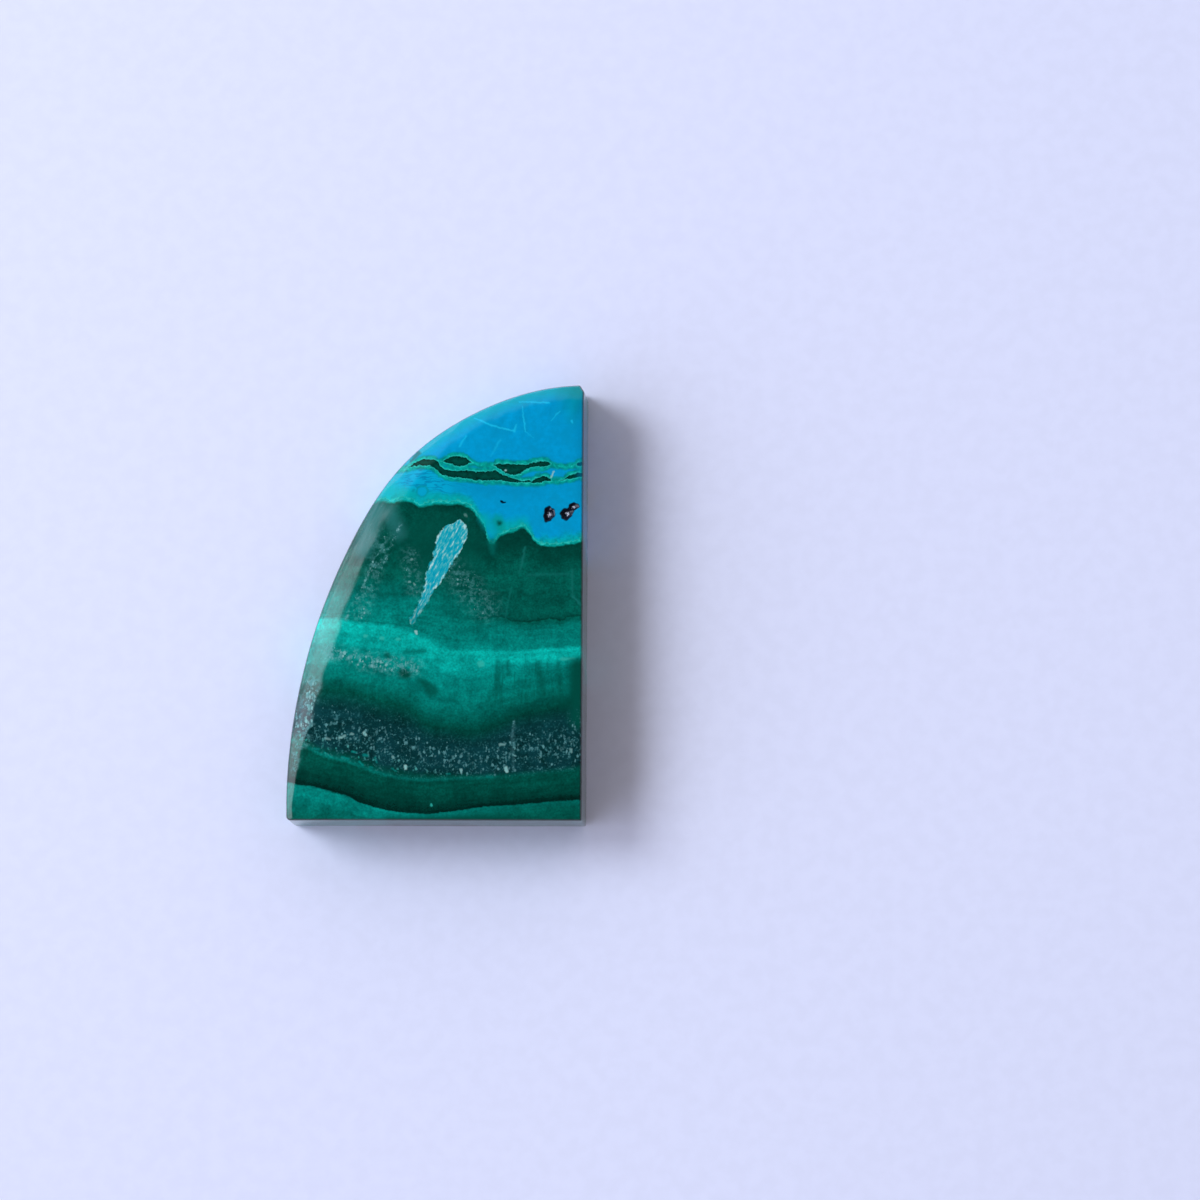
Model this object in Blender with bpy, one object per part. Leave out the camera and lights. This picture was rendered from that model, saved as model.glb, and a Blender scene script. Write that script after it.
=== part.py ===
"""A polished, flat-backed cabochon of chrysocolla with malachite, in the shape of a quarter ellipse.

The stone lies on its flat back with its polished face up. Metres, +Z up. The origin is under the middle of
the stone's box, +Y points to the narrow end of the stone, and the long straight side is at +X.

The plan is drawn from the square corner of the two straight sides: x runs back from the long side, so it is
negative on the stone, and y runs up from the short side.
"""

from math import cos, exp, pi, radians, sin, tan

import bmesh
import bpy
import numpy as np
from mathutils import Matrix, Vector

MM = 0.001

# Driving dimensions
WIDTH = 20.3 * MM
LENGTH = 30.2 * MM
THICKNESS = 5.0 * MM

# The curved side is a quarter ellipse that stands a little above the short side. Grinding by hand left it
# fuller in two places: the height of each, its middle, and its reach, as angles up from the short side.
CURVE_FOOT = 1.6 * MM
FULLER_PLACES = (
    (0.46 * MM, radians(52), radians(14)),
    (0.65 * MM, radians(9), radians(68)),
)

# A slanting cut takes the tip off the narrow end, beside the long side.
CUT_WIDTH = 0.35 * MM
CUT_LENGTH = 0.60 * MM
SHORTEST_CUT = 0.10 * MM

# The walls lean in towards the face, the back has a small bevel, and the corners are barely rounded.
WALL_LEAN = radians(1.5)
BACK_BEVEL = 0.35 * MM
FOOT_CORNER_RADIUS = 0.35 * MM
CORNER_ANGLE = radians(0.5)
SQUARE_CORNER_RADIUS = 0.12 * MM

# The face is slightly crowned. It rolls over into the curved side in a soft shoulder, which narrows towards
# both ends of that side, and it meets the straight sides in a fine rounded edge.
EDGE_ROUND = 0.14 * MM
SHOULDER_WIDTH = 2.2 * MM
SHOULDER_DROP = 1.0 * MM
SHOULDER_POWER = 2.2
SHOULDER_AT_FOOT = 0.25
SHOULDER_AT_TIP = 0.65
SHOULDER_FOOT_REACH = 11 * MM
SHOULDER_TIP_REACH = (6 * MM, 14 * MM)
CROWN_WIDTH = 7.0 * MM
CROWN_DROP = 0.22 * MM

# Small natural pits in the face: the middle, the half width and half length, the depth, and the turn
PITS = (
    ((-2.44 * MM, 20.99 * MM), (0.34 * MM, 0.48 * MM), 0.26 * MM, radians(-12)),
    ((-1.22 * MM, 21.02 * MM), (0.44 * MM, 0.34 * MM), 0.24 * MM, radians(38)),
    ((-0.78 * MM, 21.48 * MM), (0.36 * MM, 0.24 * MM), 0.20 * MM, radians(24)),
)
PIT_DOME = 0.55 * MM
PIT_LUMPS = 0.10

# How finely each stretch of the outline is drawn
CURVE_STEPS = 66
SHORT_SIDE_STEPS = 14
LONG_SIDE_STEPS = 18
CUT_STEPS = 2
CORNER_STEPS = 3

# The face's rings, by their inset from its edge
RING_INSETS = (0.0, 0.045, 0.09, 0.14, 0.40, 0.75, 1.20, 1.70, 2.30, 3.60, 5.20, 7.00)
FACE_RINGS = tuple(inset * MM for inset in RING_INSETS)

STONE_GREEN = (0.005, 0.130, 0.112, 1.0)
STONE_ROUGHNESS = 0.12
SHARP_ANGLE = radians(35)


def clear_scene():
    for thing in list(bpy.data.objects):
        bpy.data.objects.remove(thing, do_unlink=True)


def fullness(angle):
    """How far the curved side stands out of the true ellipse."""
    return sum(height * exp(-(((angle - middle) / reach) ** 2)) for height, middle, reach in FULLER_PLACES)


CURVE_WIDTH = WIDTH - fullness(0)
CURVE_LENGTH = LENGTH - CURVE_FOOT - fullness(pi / 2)


def curve_point(angle, inset):
    """The point of the curved side at an angle, moved in along its normal."""
    normal = Vector((-cos(angle) / CURVE_WIDTH, sin(angle) / CURVE_LENGTH)).normalized()
    point = Vector((-CURVE_WIDTH * cos(angle), CURVE_FOOT + CURVE_LENGTH * sin(angle)))
    return point + normal * (fullness(angle) - inset)


def beyond_cut(point, inset):
    """How far a point lies outside the slanting cut at the narrow end."""
    start = Vector((-CUT_WIDTH, LENGTH))
    outward = Vector((CUT_LENGTH, CUT_WIDTH)).normalized()
    return (point - start).dot(outward) + inset


def angle_where(level):
    """The angle of the curved side where a rising value passes zero."""
    low = -pi / 36
    high = pi / 2
    for _ in range(40):
        middle = (low + high) / 2
        if level(middle) < 0:
            low = middle
        else:
            high = middle
    return (low + high) / 2


def between(start, end, steps):
    """Points from start towards end, without the end."""
    return [start.lerp(end, step / steps) for step in range(steps)]


def rounded_corner(corner, before, after, radius):
    """The points of a rounded corner, without its last one, and its two ends."""
    start = corner + (before - corner).normalized() * radius
    end = corner + (after - corner).normalized() * radius
    points = []
    for step in range(CORNER_STEPS):
        share = step / CORNER_STEPS
        points.append(start.lerp(corner, share).lerp(corner.lerp(end, share), share))
    return points, start, end


def outline(inset):
    """The stone's outline, moved in by the same inset on every side."""

    def beyond_tip(angle):
        point = curve_point(angle, inset)
        return max(beyond_cut(point, inset), point.x + inset)

    foot_angle = angle_where(lambda angle: curve_point(angle, inset).y - inset)
    tip_angle = angle_where(beyond_tip)
    foot_corner = curve_point(foot_angle, inset)
    square_corner = Vector((-inset, inset))
    tip = curve_point(tip_angle, inset)
    # Further in than the cut reaches, a shortest step keeps the ring's points apart.
    cut_fall = max((square_corner.x - tip.x) * CUT_LENGTH / CUT_WIDTH, SHORTEST_CUT)
    cut_end = Vector((square_corner.x, tip.y - cut_fall))

    foot_points, curve_end, short_start = rounded_corner(
        foot_corner, curve_point(foot_angle + CORNER_ANGLE, inset), square_corner, FOOT_CORNER_RADIUS
    )
    square_points, short_end, long_start = rounded_corner(
        square_corner, foot_corner, cut_end, SQUARE_CORNER_RADIUS
    )
    curve_end_angle = angle_where(lambda angle: curve_point(angle, inset).y - curve_end.y)
    points = []
    for step in range(CURVE_STEPS):
        angle = tip_angle + (curve_end_angle - tip_angle) * step / CURVE_STEPS
        points.append(curve_point(angle, inset))
    points += foot_points
    points += between(short_start, short_end, SHORT_SIDE_STEPS)
    points += square_points
    points += between(long_start, cut_end, LONG_SIDE_STEPS)
    points += between(cut_end, tip, CUT_STEPS)
    return points


# The face's own edge is where the leaning walls end.
FACE_INSET = (THICKNESS - BACK_BEVEL) * tan(WALL_LEAN)
CURVED_EDGE = np.array([curve_point(radians(degree / 2), FACE_INSET) for degree in range(-12, 196)])


def distance_to_curve(point):
    """The distance from a point of the plan to the face's curved edge."""
    start = CURVED_EDGE[:-1]
    along = CURVED_EDGE[1:] - start
    share = ((np.array(point) - start) * along).sum(axis=1) / (along * along).sum(axis=1)
    nearest = start + np.clip(share, 0.0, 1.0)[:, None] * along
    return float(np.hypot(*(nearest - np.array(point)).T).min())


def smooth_step(low, high, value):
    share = min(max((value - low) / (high - low), 0.0), 1.0)
    return share * share * (3 - 2 * share)


def shoulder_size(point):
    """The shoulder's share of its full size at a point of the plan."""
    foot = smooth_step(0.0, SHOULDER_FOOT_REACH, point.y)
    tip = smooth_step(SHOULDER_TIP_REACH[0], SHOULDER_TIP_REACH[1], -point.x)
    foot_share = SHOULDER_AT_FOOT + (1 - SHOULDER_AT_FOOT) * foot
    tip_share = SHOULDER_AT_TIP + (1 - SHOULDER_AT_TIP) * tip
    return foot_share * tip_share


def roll_off(distance, width, drop, power):
    """How far a rounded edge has fallen at a distance from its side."""
    return drop * max(1 - max(distance, 0.0) / width, 0.0) ** power


def face_height(point):
    """The height of the polished face over a point of the plan."""
    to_curve = distance_to_curve(point)
    to_straight = min(-point.x, point.y, -beyond_cut(point, 0.0)) - FACE_INSET
    size = shoulder_size(point)
    shoulder = roll_off(to_curve, SHOULDER_WIDTH * size, SHOULDER_DROP * size, SHOULDER_POWER)
    edge = roll_off(min(to_straight, to_curve), EDGE_ROUND, EDGE_ROUND, 2)
    crown = roll_off(to_curve, CROWN_WIDTH, CROWN_DROP, 2)
    return THICKNESS - shoulder - edge - crown


def in_frame(point, height):
    """A point of the plan at a height, in the stone's own frame."""
    return Vector((point.x + WIDTH / 2, point.y - LENGTH / 2, height))


def stone_material():
    material = bpy.data.materials.new("polished chrysocolla and malachite")
    material.use_nodes = True
    shader = material.node_tree.nodes["Principled BSDF"]
    shader.inputs["Base Color"].default_value = STONE_GREEN
    shader.inputs["Roughness"].default_value = STONE_ROUGHNESS
    shader.inputs["Metallic"].default_value = 0.0
    return material


def add_object(name, mesh):
    thing = bpy.data.objects.new(name, mesh)
    bpy.context.scene.collection.objects.link(thing)
    return thing


def build_stone():
    """The stone, as rings of points from the flat back up the walls and over the face."""
    rings = [
        [in_frame(point, 0.0) for point in outline(BACK_BEVEL)],
        [in_frame(point, BACK_BEVEL) for point in outline(0.0)],
    ]
    for inset in FACE_RINGS:
        rings.append([in_frame(point, face_height(point)) for point in outline(FACE_INSET + inset)])

    shape = bmesh.new()
    levels = [[shape.verts.new(point) for point in ring] for ring in rings]
    count = len(levels[0])
    for lower, upper in zip(levels, levels[1:]):
        for place in range(count):
            after = (place + 1) % count
            shape.faces.new((lower[place], lower[after], upper[after], upper[place]))
    shape.faces.new(list(reversed(levels[0])))
    shape.faces.new(levels[-1])
    bmesh.ops.recalc_face_normals(shape, faces=shape.faces)
    # The rings' four-sided faces are slightly twisted, and the pits are cut cleanly only from flat ones.
    bmesh.ops.triangulate(shape, faces=shape.faces)
    mesh = bpy.data.meshes.new("polished_stone")
    shape.to_mesh(mesh)
    shape.free()
    mesh.shade_smooth()
    mesh.set_sharp_from_angle(angle=SHARP_ANGLE)
    mesh.materials.append(stone_material())
    return add_object("polished_stone", mesh)


def cut_pit(stone, number, middle, half_size, depth, turn):
    """A shallow pit: a lumpy dome, wider than it is deep, pressed into the face from above."""
    shape = bmesh.new()
    bmesh.ops.create_icosphere(shape, subdivisions=2, radius=1.0)
    for corner in shape.verts:
        ripple = sin(5 * corner.co.x + number) * cos(4 * corner.co.y - 2 * number)
        corner.co *= 1 + PIT_LUMPS * ripple
    bmesh.ops.transform(
        shape, verts=shape.verts, matrix=Matrix.Diagonal((half_size[0], half_size[1], PIT_DOME, 1.0))
    )
    mesh = bpy.data.meshes.new(f"pit_cutter_{number}")
    shape.to_mesh(mesh)
    shape.free()
    cutter = add_object(f"pit_cutter_{number}", mesh)
    cutter.location = in_frame(Vector(middle), THICKNESS + PIT_DOME - depth)
    cutter.rotation_euler.z = turn
    cutter.hide_render = True
    cutter.display_type = "WIRE"
    cut = stone.modifiers.new(f"pit {number}", "BOOLEAN")
    cut.operation = "DIFFERENCE"
    cut.solver = "EXACT"
    cut.object = cutter


def main():
    clear_scene()
    stone = build_stone()
    for number, (middle, half_size, depth, turn) in enumerate(PITS, start=1):
        cut_pit(stone, number, middle, half_size, depth, turn)


main()
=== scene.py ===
"""A polished cabochon of banded chrysocolla and malachite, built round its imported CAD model.

The stone lies on its flat back on pale paper, under soft light from the upper left. It is drawn in the frame
of the CAD: metres, +Z up, +Y towards the narrow end, and the long straight side at +X. The bands, veins and
marks are placed in millimetres in that frame.
"""

from math import cos, pi, radians, sin, tan

import bmesh
import bpy
import numpy as np
from bpy.props import FloatProperty, FloatVectorProperty, IntProperty, PointerProperty
from mathutils import Euler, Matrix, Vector


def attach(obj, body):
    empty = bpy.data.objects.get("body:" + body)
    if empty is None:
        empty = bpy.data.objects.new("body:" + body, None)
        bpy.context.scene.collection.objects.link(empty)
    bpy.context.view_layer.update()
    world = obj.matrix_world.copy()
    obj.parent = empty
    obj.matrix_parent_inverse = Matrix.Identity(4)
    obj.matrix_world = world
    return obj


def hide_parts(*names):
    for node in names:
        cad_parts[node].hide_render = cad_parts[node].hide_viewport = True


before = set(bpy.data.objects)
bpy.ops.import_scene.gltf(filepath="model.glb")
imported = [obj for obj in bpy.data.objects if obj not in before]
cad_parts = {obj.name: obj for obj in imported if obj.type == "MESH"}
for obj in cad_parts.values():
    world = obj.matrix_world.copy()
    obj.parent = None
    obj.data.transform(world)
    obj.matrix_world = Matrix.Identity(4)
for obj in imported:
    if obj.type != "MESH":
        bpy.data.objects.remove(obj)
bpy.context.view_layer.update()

bl_info = {
    "name": "Chrysocolla cabochon",
    "version": (1, 0, 0),
    "blender": (4, 5, 0),
    "location": "3D View > Sidebar > Stone",
    "description": "Builds a polished cabochon of chrysocolla and malachite, and its stage",
    "category": "Add Mesh",
}

MM = 0.001

# The same driving dimensions as the CAD source has
WIDTH = 20.3 * MM
LENGTH = 30.2 * MM
THICKNESS = 5.0 * MM
CURVE_FOOT = 1.6 * MM
FULLER_PLACES = (
    (0.46 * MM, radians(52), radians(14)),
    (0.65 * MM, radians(9), radians(68)),
)
CUT_WIDTH = 0.35 * MM
CUT_LENGTH = 0.60 * MM
SHORTEST_CUT = 0.10 * MM
WALL_LEAN = radians(1.5)
BACK_BEVEL = 0.35 * MM
FOOT_CORNER_RADIUS = 0.35 * MM
CORNER_ANGLE = radians(0.5)
SQUARE_CORNER_RADIUS = 0.12 * MM
EDGE_ROUND = 0.14 * MM
SHOULDER_WIDTH = 2.2 * MM
SHOULDER_DROP = 1.0 * MM
SHOULDER_POWER = 2.2
SHOULDER_AT_FOOT = 0.25
SHOULDER_AT_TIP = 0.65
SHOULDER_FOOT_REACH = 11 * MM
SHOULDER_TIP_REACH = (6 * MM, 14 * MM)
CROWN_WIDTH = 7.0 * MM
CROWN_DROP = 0.22 * MM

# The natural pits in the plan: the middle, the half width and half length, the depth, and the turn
PITS = (
    ((-2.44 * MM, 20.99 * MM), (0.34 * MM, 0.48 * MM), 0.26 * MM, radians(-12)),
    ((-1.22 * MM, 21.02 * MM), (0.44 * MM, 0.34 * MM), 0.24 * MM, radians(38)),
    ((-0.78 * MM, 21.48 * MM), (0.36 * MM, 0.24 * MM), 0.20 * MM, radians(24)),
)
CRYSTALS_IN_A_PIT = 16
CRYSTAL_REACH = 0.30
FAR_FROM_PITS = 3.0

# The lengths of the slow waves of the polish, and of the finer ones that grinding left on the shoulder, which
# begin a little inside the edge and fade out between two distances from it
POLISH_WAVES = (12 * MM, 9 * MM, 7 * MM, 5 * MM, 4 * MM)
SHOULDER_WAVES = (2.6 * MM, 2.1 * MM, 1.8 * MM, 1.5 * MM, 1.25 * MM, 1.0 * MM, 0.85 * MM)
SHOULDER_WAVES_START = 0.3 * MM
SHOULDER_WAVES_END = (3.4 * MM, 1.2 * MM)

# How finely each stretch of a ring is drawn. The long side is drawn closest beside the pits.
CURVE_STEPS = 260
CORNER_STEPS = 8
SHORT_SIDE_STEPS = 120
LONG_SIDE_SHARES = ((0.0, 0), (0.62, 60), (0.82, 140), (1.0, 180))
CUT_STEPS = 6

# The rings' insets, in millimetres: over the face's rounded edge, over the pits' neighbourhood and further in
EDGE_INSETS = (0.0, 0.02, 0.045, 0.07, 0.10, 0.14, 0.20)
# How much painted shade darkens the first face rings' colour, over the rounded edge, into a thin dark line
EDGE_LIP_SHADES = (1.0, 1.0, 0.8, 0.4, 0.1)
CLOSE_INSETS = np.arange(0.28, 3.3, 0.08)
WIDE_INSETS = np.arange(3.4, 7.01, 0.2)
CENTRE_SHRINKS = (0.8, 0.6, 0.4, 0.2)
BACK_INSETS = (7.0, 5.0, 3.0, 1.5, 0.8, 0.45)
BEVEL_STEPS = 5
WALL_STEPS = 9
# The facets of the walls: two trains, each with its number round the stone and its twist up the wall
WALL_FACETS = ((23, 9), (41, -4))

# Guide lines of the bands, in millimetres: points (x, y) of the stone's frame, from the curved side over.
# From the foot up: the edge of the foot's band, the end of the speckled band, the start of the dark, the
# light line, the dark line, the scalloped edge of the blue, and the middle of the green vein.
FOOT_LINE = (
    (-10.2, -12.3), (-9.65, -12.38), (-9.24, -12.53), (-8.08, -12.69), (-6.78, -13.07), (-5.9, -13.29),
    (-5.08, -13.69), (-4.26, -14.0), (-3.44, -14.23), (-2.43, -14.4), (-1.34, -14.5), (-0.19, -14.54),
    (0.48, -14.42), (1.9, -14.26), (3.59, -14.01), (5.34, -13.91), (8.04, -13.67), (10.2, -13.53),
)
SPECKLES_END = (
    (-10.2, -9.3), (-9.08, -9.57), (-7.71, -10.38), (-5.66, -10.92), (-3.95, -11.59), (-2.59, -11.93),
    (-0.9, -12.13), (2.49, -12.06), (5.87, -11.92), (9.25, -11.57), (10.2, -11.43),
)
DARK_START = (
    (-10.2, -6.1), (-9.14, -6.16), (-7.09, -6.16), (-3.68, -6.84), (-1.63, -7.52), (-0.26, -8.54),
    (1.1, -8.74), (2.46, -9.08), (3.14, -9.01), (4.49, -8.53), (5.84, -7.99), (7.87, -7.58),
    (9.22, -7.17), (10.2, -6.15),
)
LIGHT_LINE = (
    (-10.2, -1.1), (-7.85, -1.24), (-6.55, -1.38), (-5.73, -1.65), (-4.84, -1.79), (-3.47, -1.93),
    (-2.51, -2.06), (-1.83, -2.27), (-1.18, -2.61), (-0.32, -3.09), (0.16, -3.43), (1.05, -3.57),
    (1.73, -3.63), (5.19, -3.63), (7.3, -3.49), (10.2, -3.36),
)
DARK_LINE = (
    (-10.2, -0.5), (-7.17, -0.7), (-3.83, -0.83), (-1.03, -0.9), (2.79, -1.31), (4.49, -1.14),
    (5.17, -1.38), (6.26, -1.49), (7.96, -1.28), (8.64, -1.42), (9.05, -1.14), (10.2, -1.1),
)
BLUE_EDGE = (
    (-10.2, 7.1), (-4.55, 6.95), (-3.86, 7.02), (-2.99, 6.88), (-2.35, 7.02), (-1.67, 6.88), (-1.05, 6.53),
    (-0.5, 6.67), (0.25, 6.74), (0.94, 6.67), (1.53, 6.76), (2.1, 6.57), (2.49, 6.32), (2.79, 5.84),
    (3.28, 5.21), (3.42, 4.66), (3.56, 4.18), (3.84, 3.91), (4.11, 4.11), (4.28, 4.39), (4.78, 4.66),
    (5.4, 4.8), (5.87, 5.07), (6.35, 4.66), (6.7, 4.18), (7.18, 3.83), (8.13, 3.76), (9.09, 3.9),
    (9.7, 3.97), (10.2, 4.3),
)
VEIN_MIDDLE = ((-10.2, 9.2), (-2.24, 9.16), (-0.4, 9.45), (0.6, 9.1), (4.0, 8.9), (6.8, 8.75), (10.2, 8.85))

# The green vein is two lenses, and each lies between an upper and a lower line.
LONG_LENS = (
    (
        (-10.2, 9.0), (-2.24, 9.16), (-1.97, 9.3), (-1.42, 9.61), (-0.95, 9.75), (-0.4, 9.71), (0.02, 9.57),
        (0.29, 9.23), (0.57, 8.95), (1.33, 8.91), (2.08, 8.97), (2.76, 8.84), (3.45, 8.87), (4.0, 8.91),
        (4.41, 8.67), (4.75, 8.53), (5.37, 8.32), (5.85, 8.18), (6.46, 8.18), (6.8, 8.35), (7.42, 8.49),
        (7.76, 8.35), (7.97, 8.14), (8.31, 8.18), (8.65, 8.24), (8.85, 8.42), (9.47, 8.69), (9.81, 8.73),
        (10.2, 8.6),
    ),
    (
        (-10.2, 9.1), (-2.24, 9.16), (-1.9, 9.23), (-1.42, 9.3), (-0.87, 9.26), (-0.39, 9.19),
        (-0.11, 9.02), (0.23, 8.74), (0.64, 8.53), (1.33, 8.43), (2.15, 8.36), (2.84, 8.25), (3.39, 8.18),
        (4.0, 8.18), (4.75, 8.15), (5.37, 8.08), (6.26, 8.07), (6.81, 8.04), (7.22, 8.11), (7.63, 8.21),
        (7.97, 8.24), (8.31, 8.21), (8.85, 8.29), (9.47, 8.38), (10.2, 8.52),
    ),
)
UPPER_LENS = (
    (
        (-10.2, 6.0), (-1.2, 8.6), (0.22, 9.5), (0.63, 9.71), (0.84, 9.85), (1.25, 9.92), (1.66, 9.9),
        (2.07, 9.78), (2.28, 9.57), (2.55, 9.36), (2.97, 9.22), (3.51, 9.22), (3.86, 9.25), (4.06, 9.39),
        (4.47, 9.39), (5.98, 9.32), (6.86, 9.53), (7.41, 9.56), (7.75, 9.42), (7.96, 9.21), (8.44, 9.14),
        (9.12, 9.14), (9.46, 9.28), (9.67, 9.42), (10.2, 9.58),
    ),
    (
        (-10.2, 12.0), (-1.2, 10.4), (0.22, 9.57), (0.63, 9.54), (0.84, 9.43), (1.25, 9.26), (1.66, 9.22),
        (2.07, 9.33), (2.28, 9.5), (2.55, 9.5), (2.96, 9.36), (3.51, 9.32), (3.86, 9.29), (4.06, 9.22),
        (4.41, 8.94), (4.82, 8.7), (5.3, 8.59), (5.78, 8.73), (6.12, 8.97), (6.39, 9.11), (6.87, 9.15),
        (7.41, 9.14), (7.75, 9.32), (7.96, 9.35), (8.44, 9.28), (9.46, 9.29), (9.67, 9.24), (10.2, 9.17),
    ),
)

# The pale streak lies between a left and a right line, each as points (y, x).
STREAK = (
    (
        (-1.9, -1.2), (-1.56, -1.84), (-0.83, -1.51), (0.2, -0.93), (1.91, -0.58), (3.36, -0.19),
        (4.8, 0.38), (5.35, 1.29), (5.8, 2.1),
    ),
    (
        (-1.9, -1.9), (-1.72, -1.49), (-0.83, -0.92), (0.34, -0.22), (1.5, 0.51), (2.6, 1.19),
        (3.63, 1.86), (4.66, 2.19), (5.49, 1.7), (5.8, 1.2),
    ),
)


def linear(hex_colour):
    """An sRGB hex colour as linear red, green and blue, with full alpha."""
    shares = [int(hex_colour[place : place + 2], 16) / 255 for place in (0, 2, 4)]
    return (*(s / 12.92 if s <= 0.04045 else ((s + 0.055) / 1.055) ** 2.4 for s in shares), 1.0)


# The stone's colours, from the blue of the tip down to the near-black lines in the green
SHADES = {
    "pale aqua": "2ec3b6",
    "aqua": "04a6a8",
    "tip blue": "039fc6",
    "sky blue": "0297cc",
    "deep blue": "037ca6",
    "teal": "048f9c",
    "bright green": "06ab9f",
    "light green": "04978d",
    "clear green": "027b71",
    "middle green": "02685e",
    "full green": "02574b",
    "dark green": "01493e",
    "deep green": "013b32",
    "black green": "012620",
    "slate": "07373a",
    "slate blue": "0f3f49",
    # Colours of single marks, crystals and finishes
    "cloud blue": "038fbd",
    "light blue": "05a4c9",
    "thin blue": "04a2b0",
    "teal of the tip": "038a90",
    "hairline blue": "17bbe2",
    "grey film": "236c6a",
    "grey green": "0d5c58",
    "ink": "01142a",
    "streaky green": "157068",
    "spot green": "2db0a2",
    "seam grey": "4a7f86",
    "streak cyan": "079ab2",
    "streak aqua": "1fa6b6",
    "streak frost": "55b2b8",
    "streak white": "a9d8d8",
    "single crystal": "86c0bd",
    "frost crystal": "7fbcba",
    "green crystal": "1fb0a0",
    "pit rim": "010f26",
    "pit crystal": "c3cfe4",
    "dust": "8fa6a4",
}

# The bands by layer. A layer is a number: 0 is under the foot, 1 the foot line, 2 the end of the speckles,
# 3 the start of the dark, 4 the light line, 5 the dark line, 6 the edge of the blue, 7 the vein, 8 the tip.
# The curved side's half is a little lighter than the long side's half.
TOP_LAYER = 8.0
# The bands lie level down to this height of the stone, in millimetres, and dip under it.
LEVEL_BANDS_DEPTH = 3.8
BAND_DIP = 0.4
# The first and last layers end beyond the stone's foot and tip, at these places in millimetres.
BEYOND_FOOT = -16.7
BEYOND_TIP = 15.6
CURVED_SIDE_LAYERS = (
    (0.0, "dark green"), (0.45, "full green"), (0.8, "clear green"), (0.985, "clear green"),
    (1.0, "black green"), (1.05, "black green"), (1.22, "deep green"), (1.3, "deep green"),
    (1.6, "dark green"), (1.88, "dark green"), (1.95, "middle green"), (2.04, "dark green"), (2.13, "slate"),
    (2.7, "slate"), (3.0, "dark green"), (3.35, "clear green"), (3.75, "light green"), (3.95, "bright green"),
    (4.02, "bright green"), (4.10, "light green"), (4.35, "clear green"),
    (5.1, "clear green"), (5.2, "middle green"), (5.32, "full green"), (5.6, "dark green"),
    (5.93, "dark green"), (5.985, "deep green"), (5.995, "clear green"), (6.0, "bright green"),
    (6.03, "sky blue"), (7.0, "sky blue"), (8.0, "tip blue"),
)
LONG_SIDE_LAYERS = (
    (0.0, "deep green"), (0.45, "dark green"), (0.8, "full green"), (0.985, "middle green"),
    (1.0, "black green"), (1.05, "black green"), (1.24, "deep green"),
    (1.6, "dark green"), (1.93, "dark green"), (1.99, "full green"), (2.07, "slate"), (2.8, "slate"),
    (3.05, "deep green"), (3.32, "middle green"), (3.66, "clear green"), (3.80, "light green"),
    (3.88, "bright green"), (3.97, "light green"),
    (4.0, "bright green"), (4.04, "light green"), (4.12, "clear green"), (4.4, "clear green"),
    (4.8, "middle green"), (4.97, "full green"), (5.0, "deep green"),
    (5.04, "full green"), (5.6, "full green"),
    (5.75, "dark green"), (5.985, "deep green"), (5.995, "clear green"), (6.0, "bright green"),
    (6.03, "sky blue"),
)
# The vein by how far inside its edges a point lies, in millimetres from the first to the last of these
VEIN_REACH = (-0.4, 0.4)
FAR_OUTSIDE_VEIN = -9.0
VEIN_DEPTHS = (
    (0.0, "sky blue"), (0.14, "teal"), (0.28, "light green"), (0.42, "bright green"), (0.47, "pale aqua"),
    (0.51, "clear green"), (0.56, "black green"), (0.64, "deep green"), (1.0, "dark green"),
)
# The blue's edge by how far over it a point lies, in millimetres
RIM_DEPTHS = (
    (0.0, "bright green"), (0.06, "pale aqua"), (0.16, "aqua"), (0.45, "aqua"), (0.9, "tip blue"),
)

# The streak's grain runs along it: how many times finer it is across than along, as directions
STREAK_GRAIN = ((6.0, -2.9, 0.0), (0.9, 1.9, 0.0))
STREAK_WHITENESS = (
    (0.36, "streak cyan"), (0.47, "streak aqua"), (0.56, "streak frost"), (0.69, "streak white"),
)
# How thickly the crystals of the speckled band lie, by layer, from none (black) to all (white)
SPECKLED_BAND = (
    (0.0, "000000"), (1.93, "000000"), (2.08, "d8d8d8"), (2.45, "ffffff"), (2.72, "a0a0a0"), (3.0, "000000"),
)
# Chance patterns in the stone, by how many of their spots lie side by side in a millimetre. The crystals are
# taller than wide, and the finest ones are drawn as coarse as the render can show.
WANDERS_PER_MM = 0.5
CLOUDS_PER_MM = 0.9
MOTTLES_PER_MM = 3.0
RAGS_PER_MM = 3.5
GRAINS_PER_MM = 7.0
CRYSTALS_PER_MM = (5.2, 3.4, 4.4)
FIBRES_PER_MM = (1.9, 0.28, 0.9)

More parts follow.
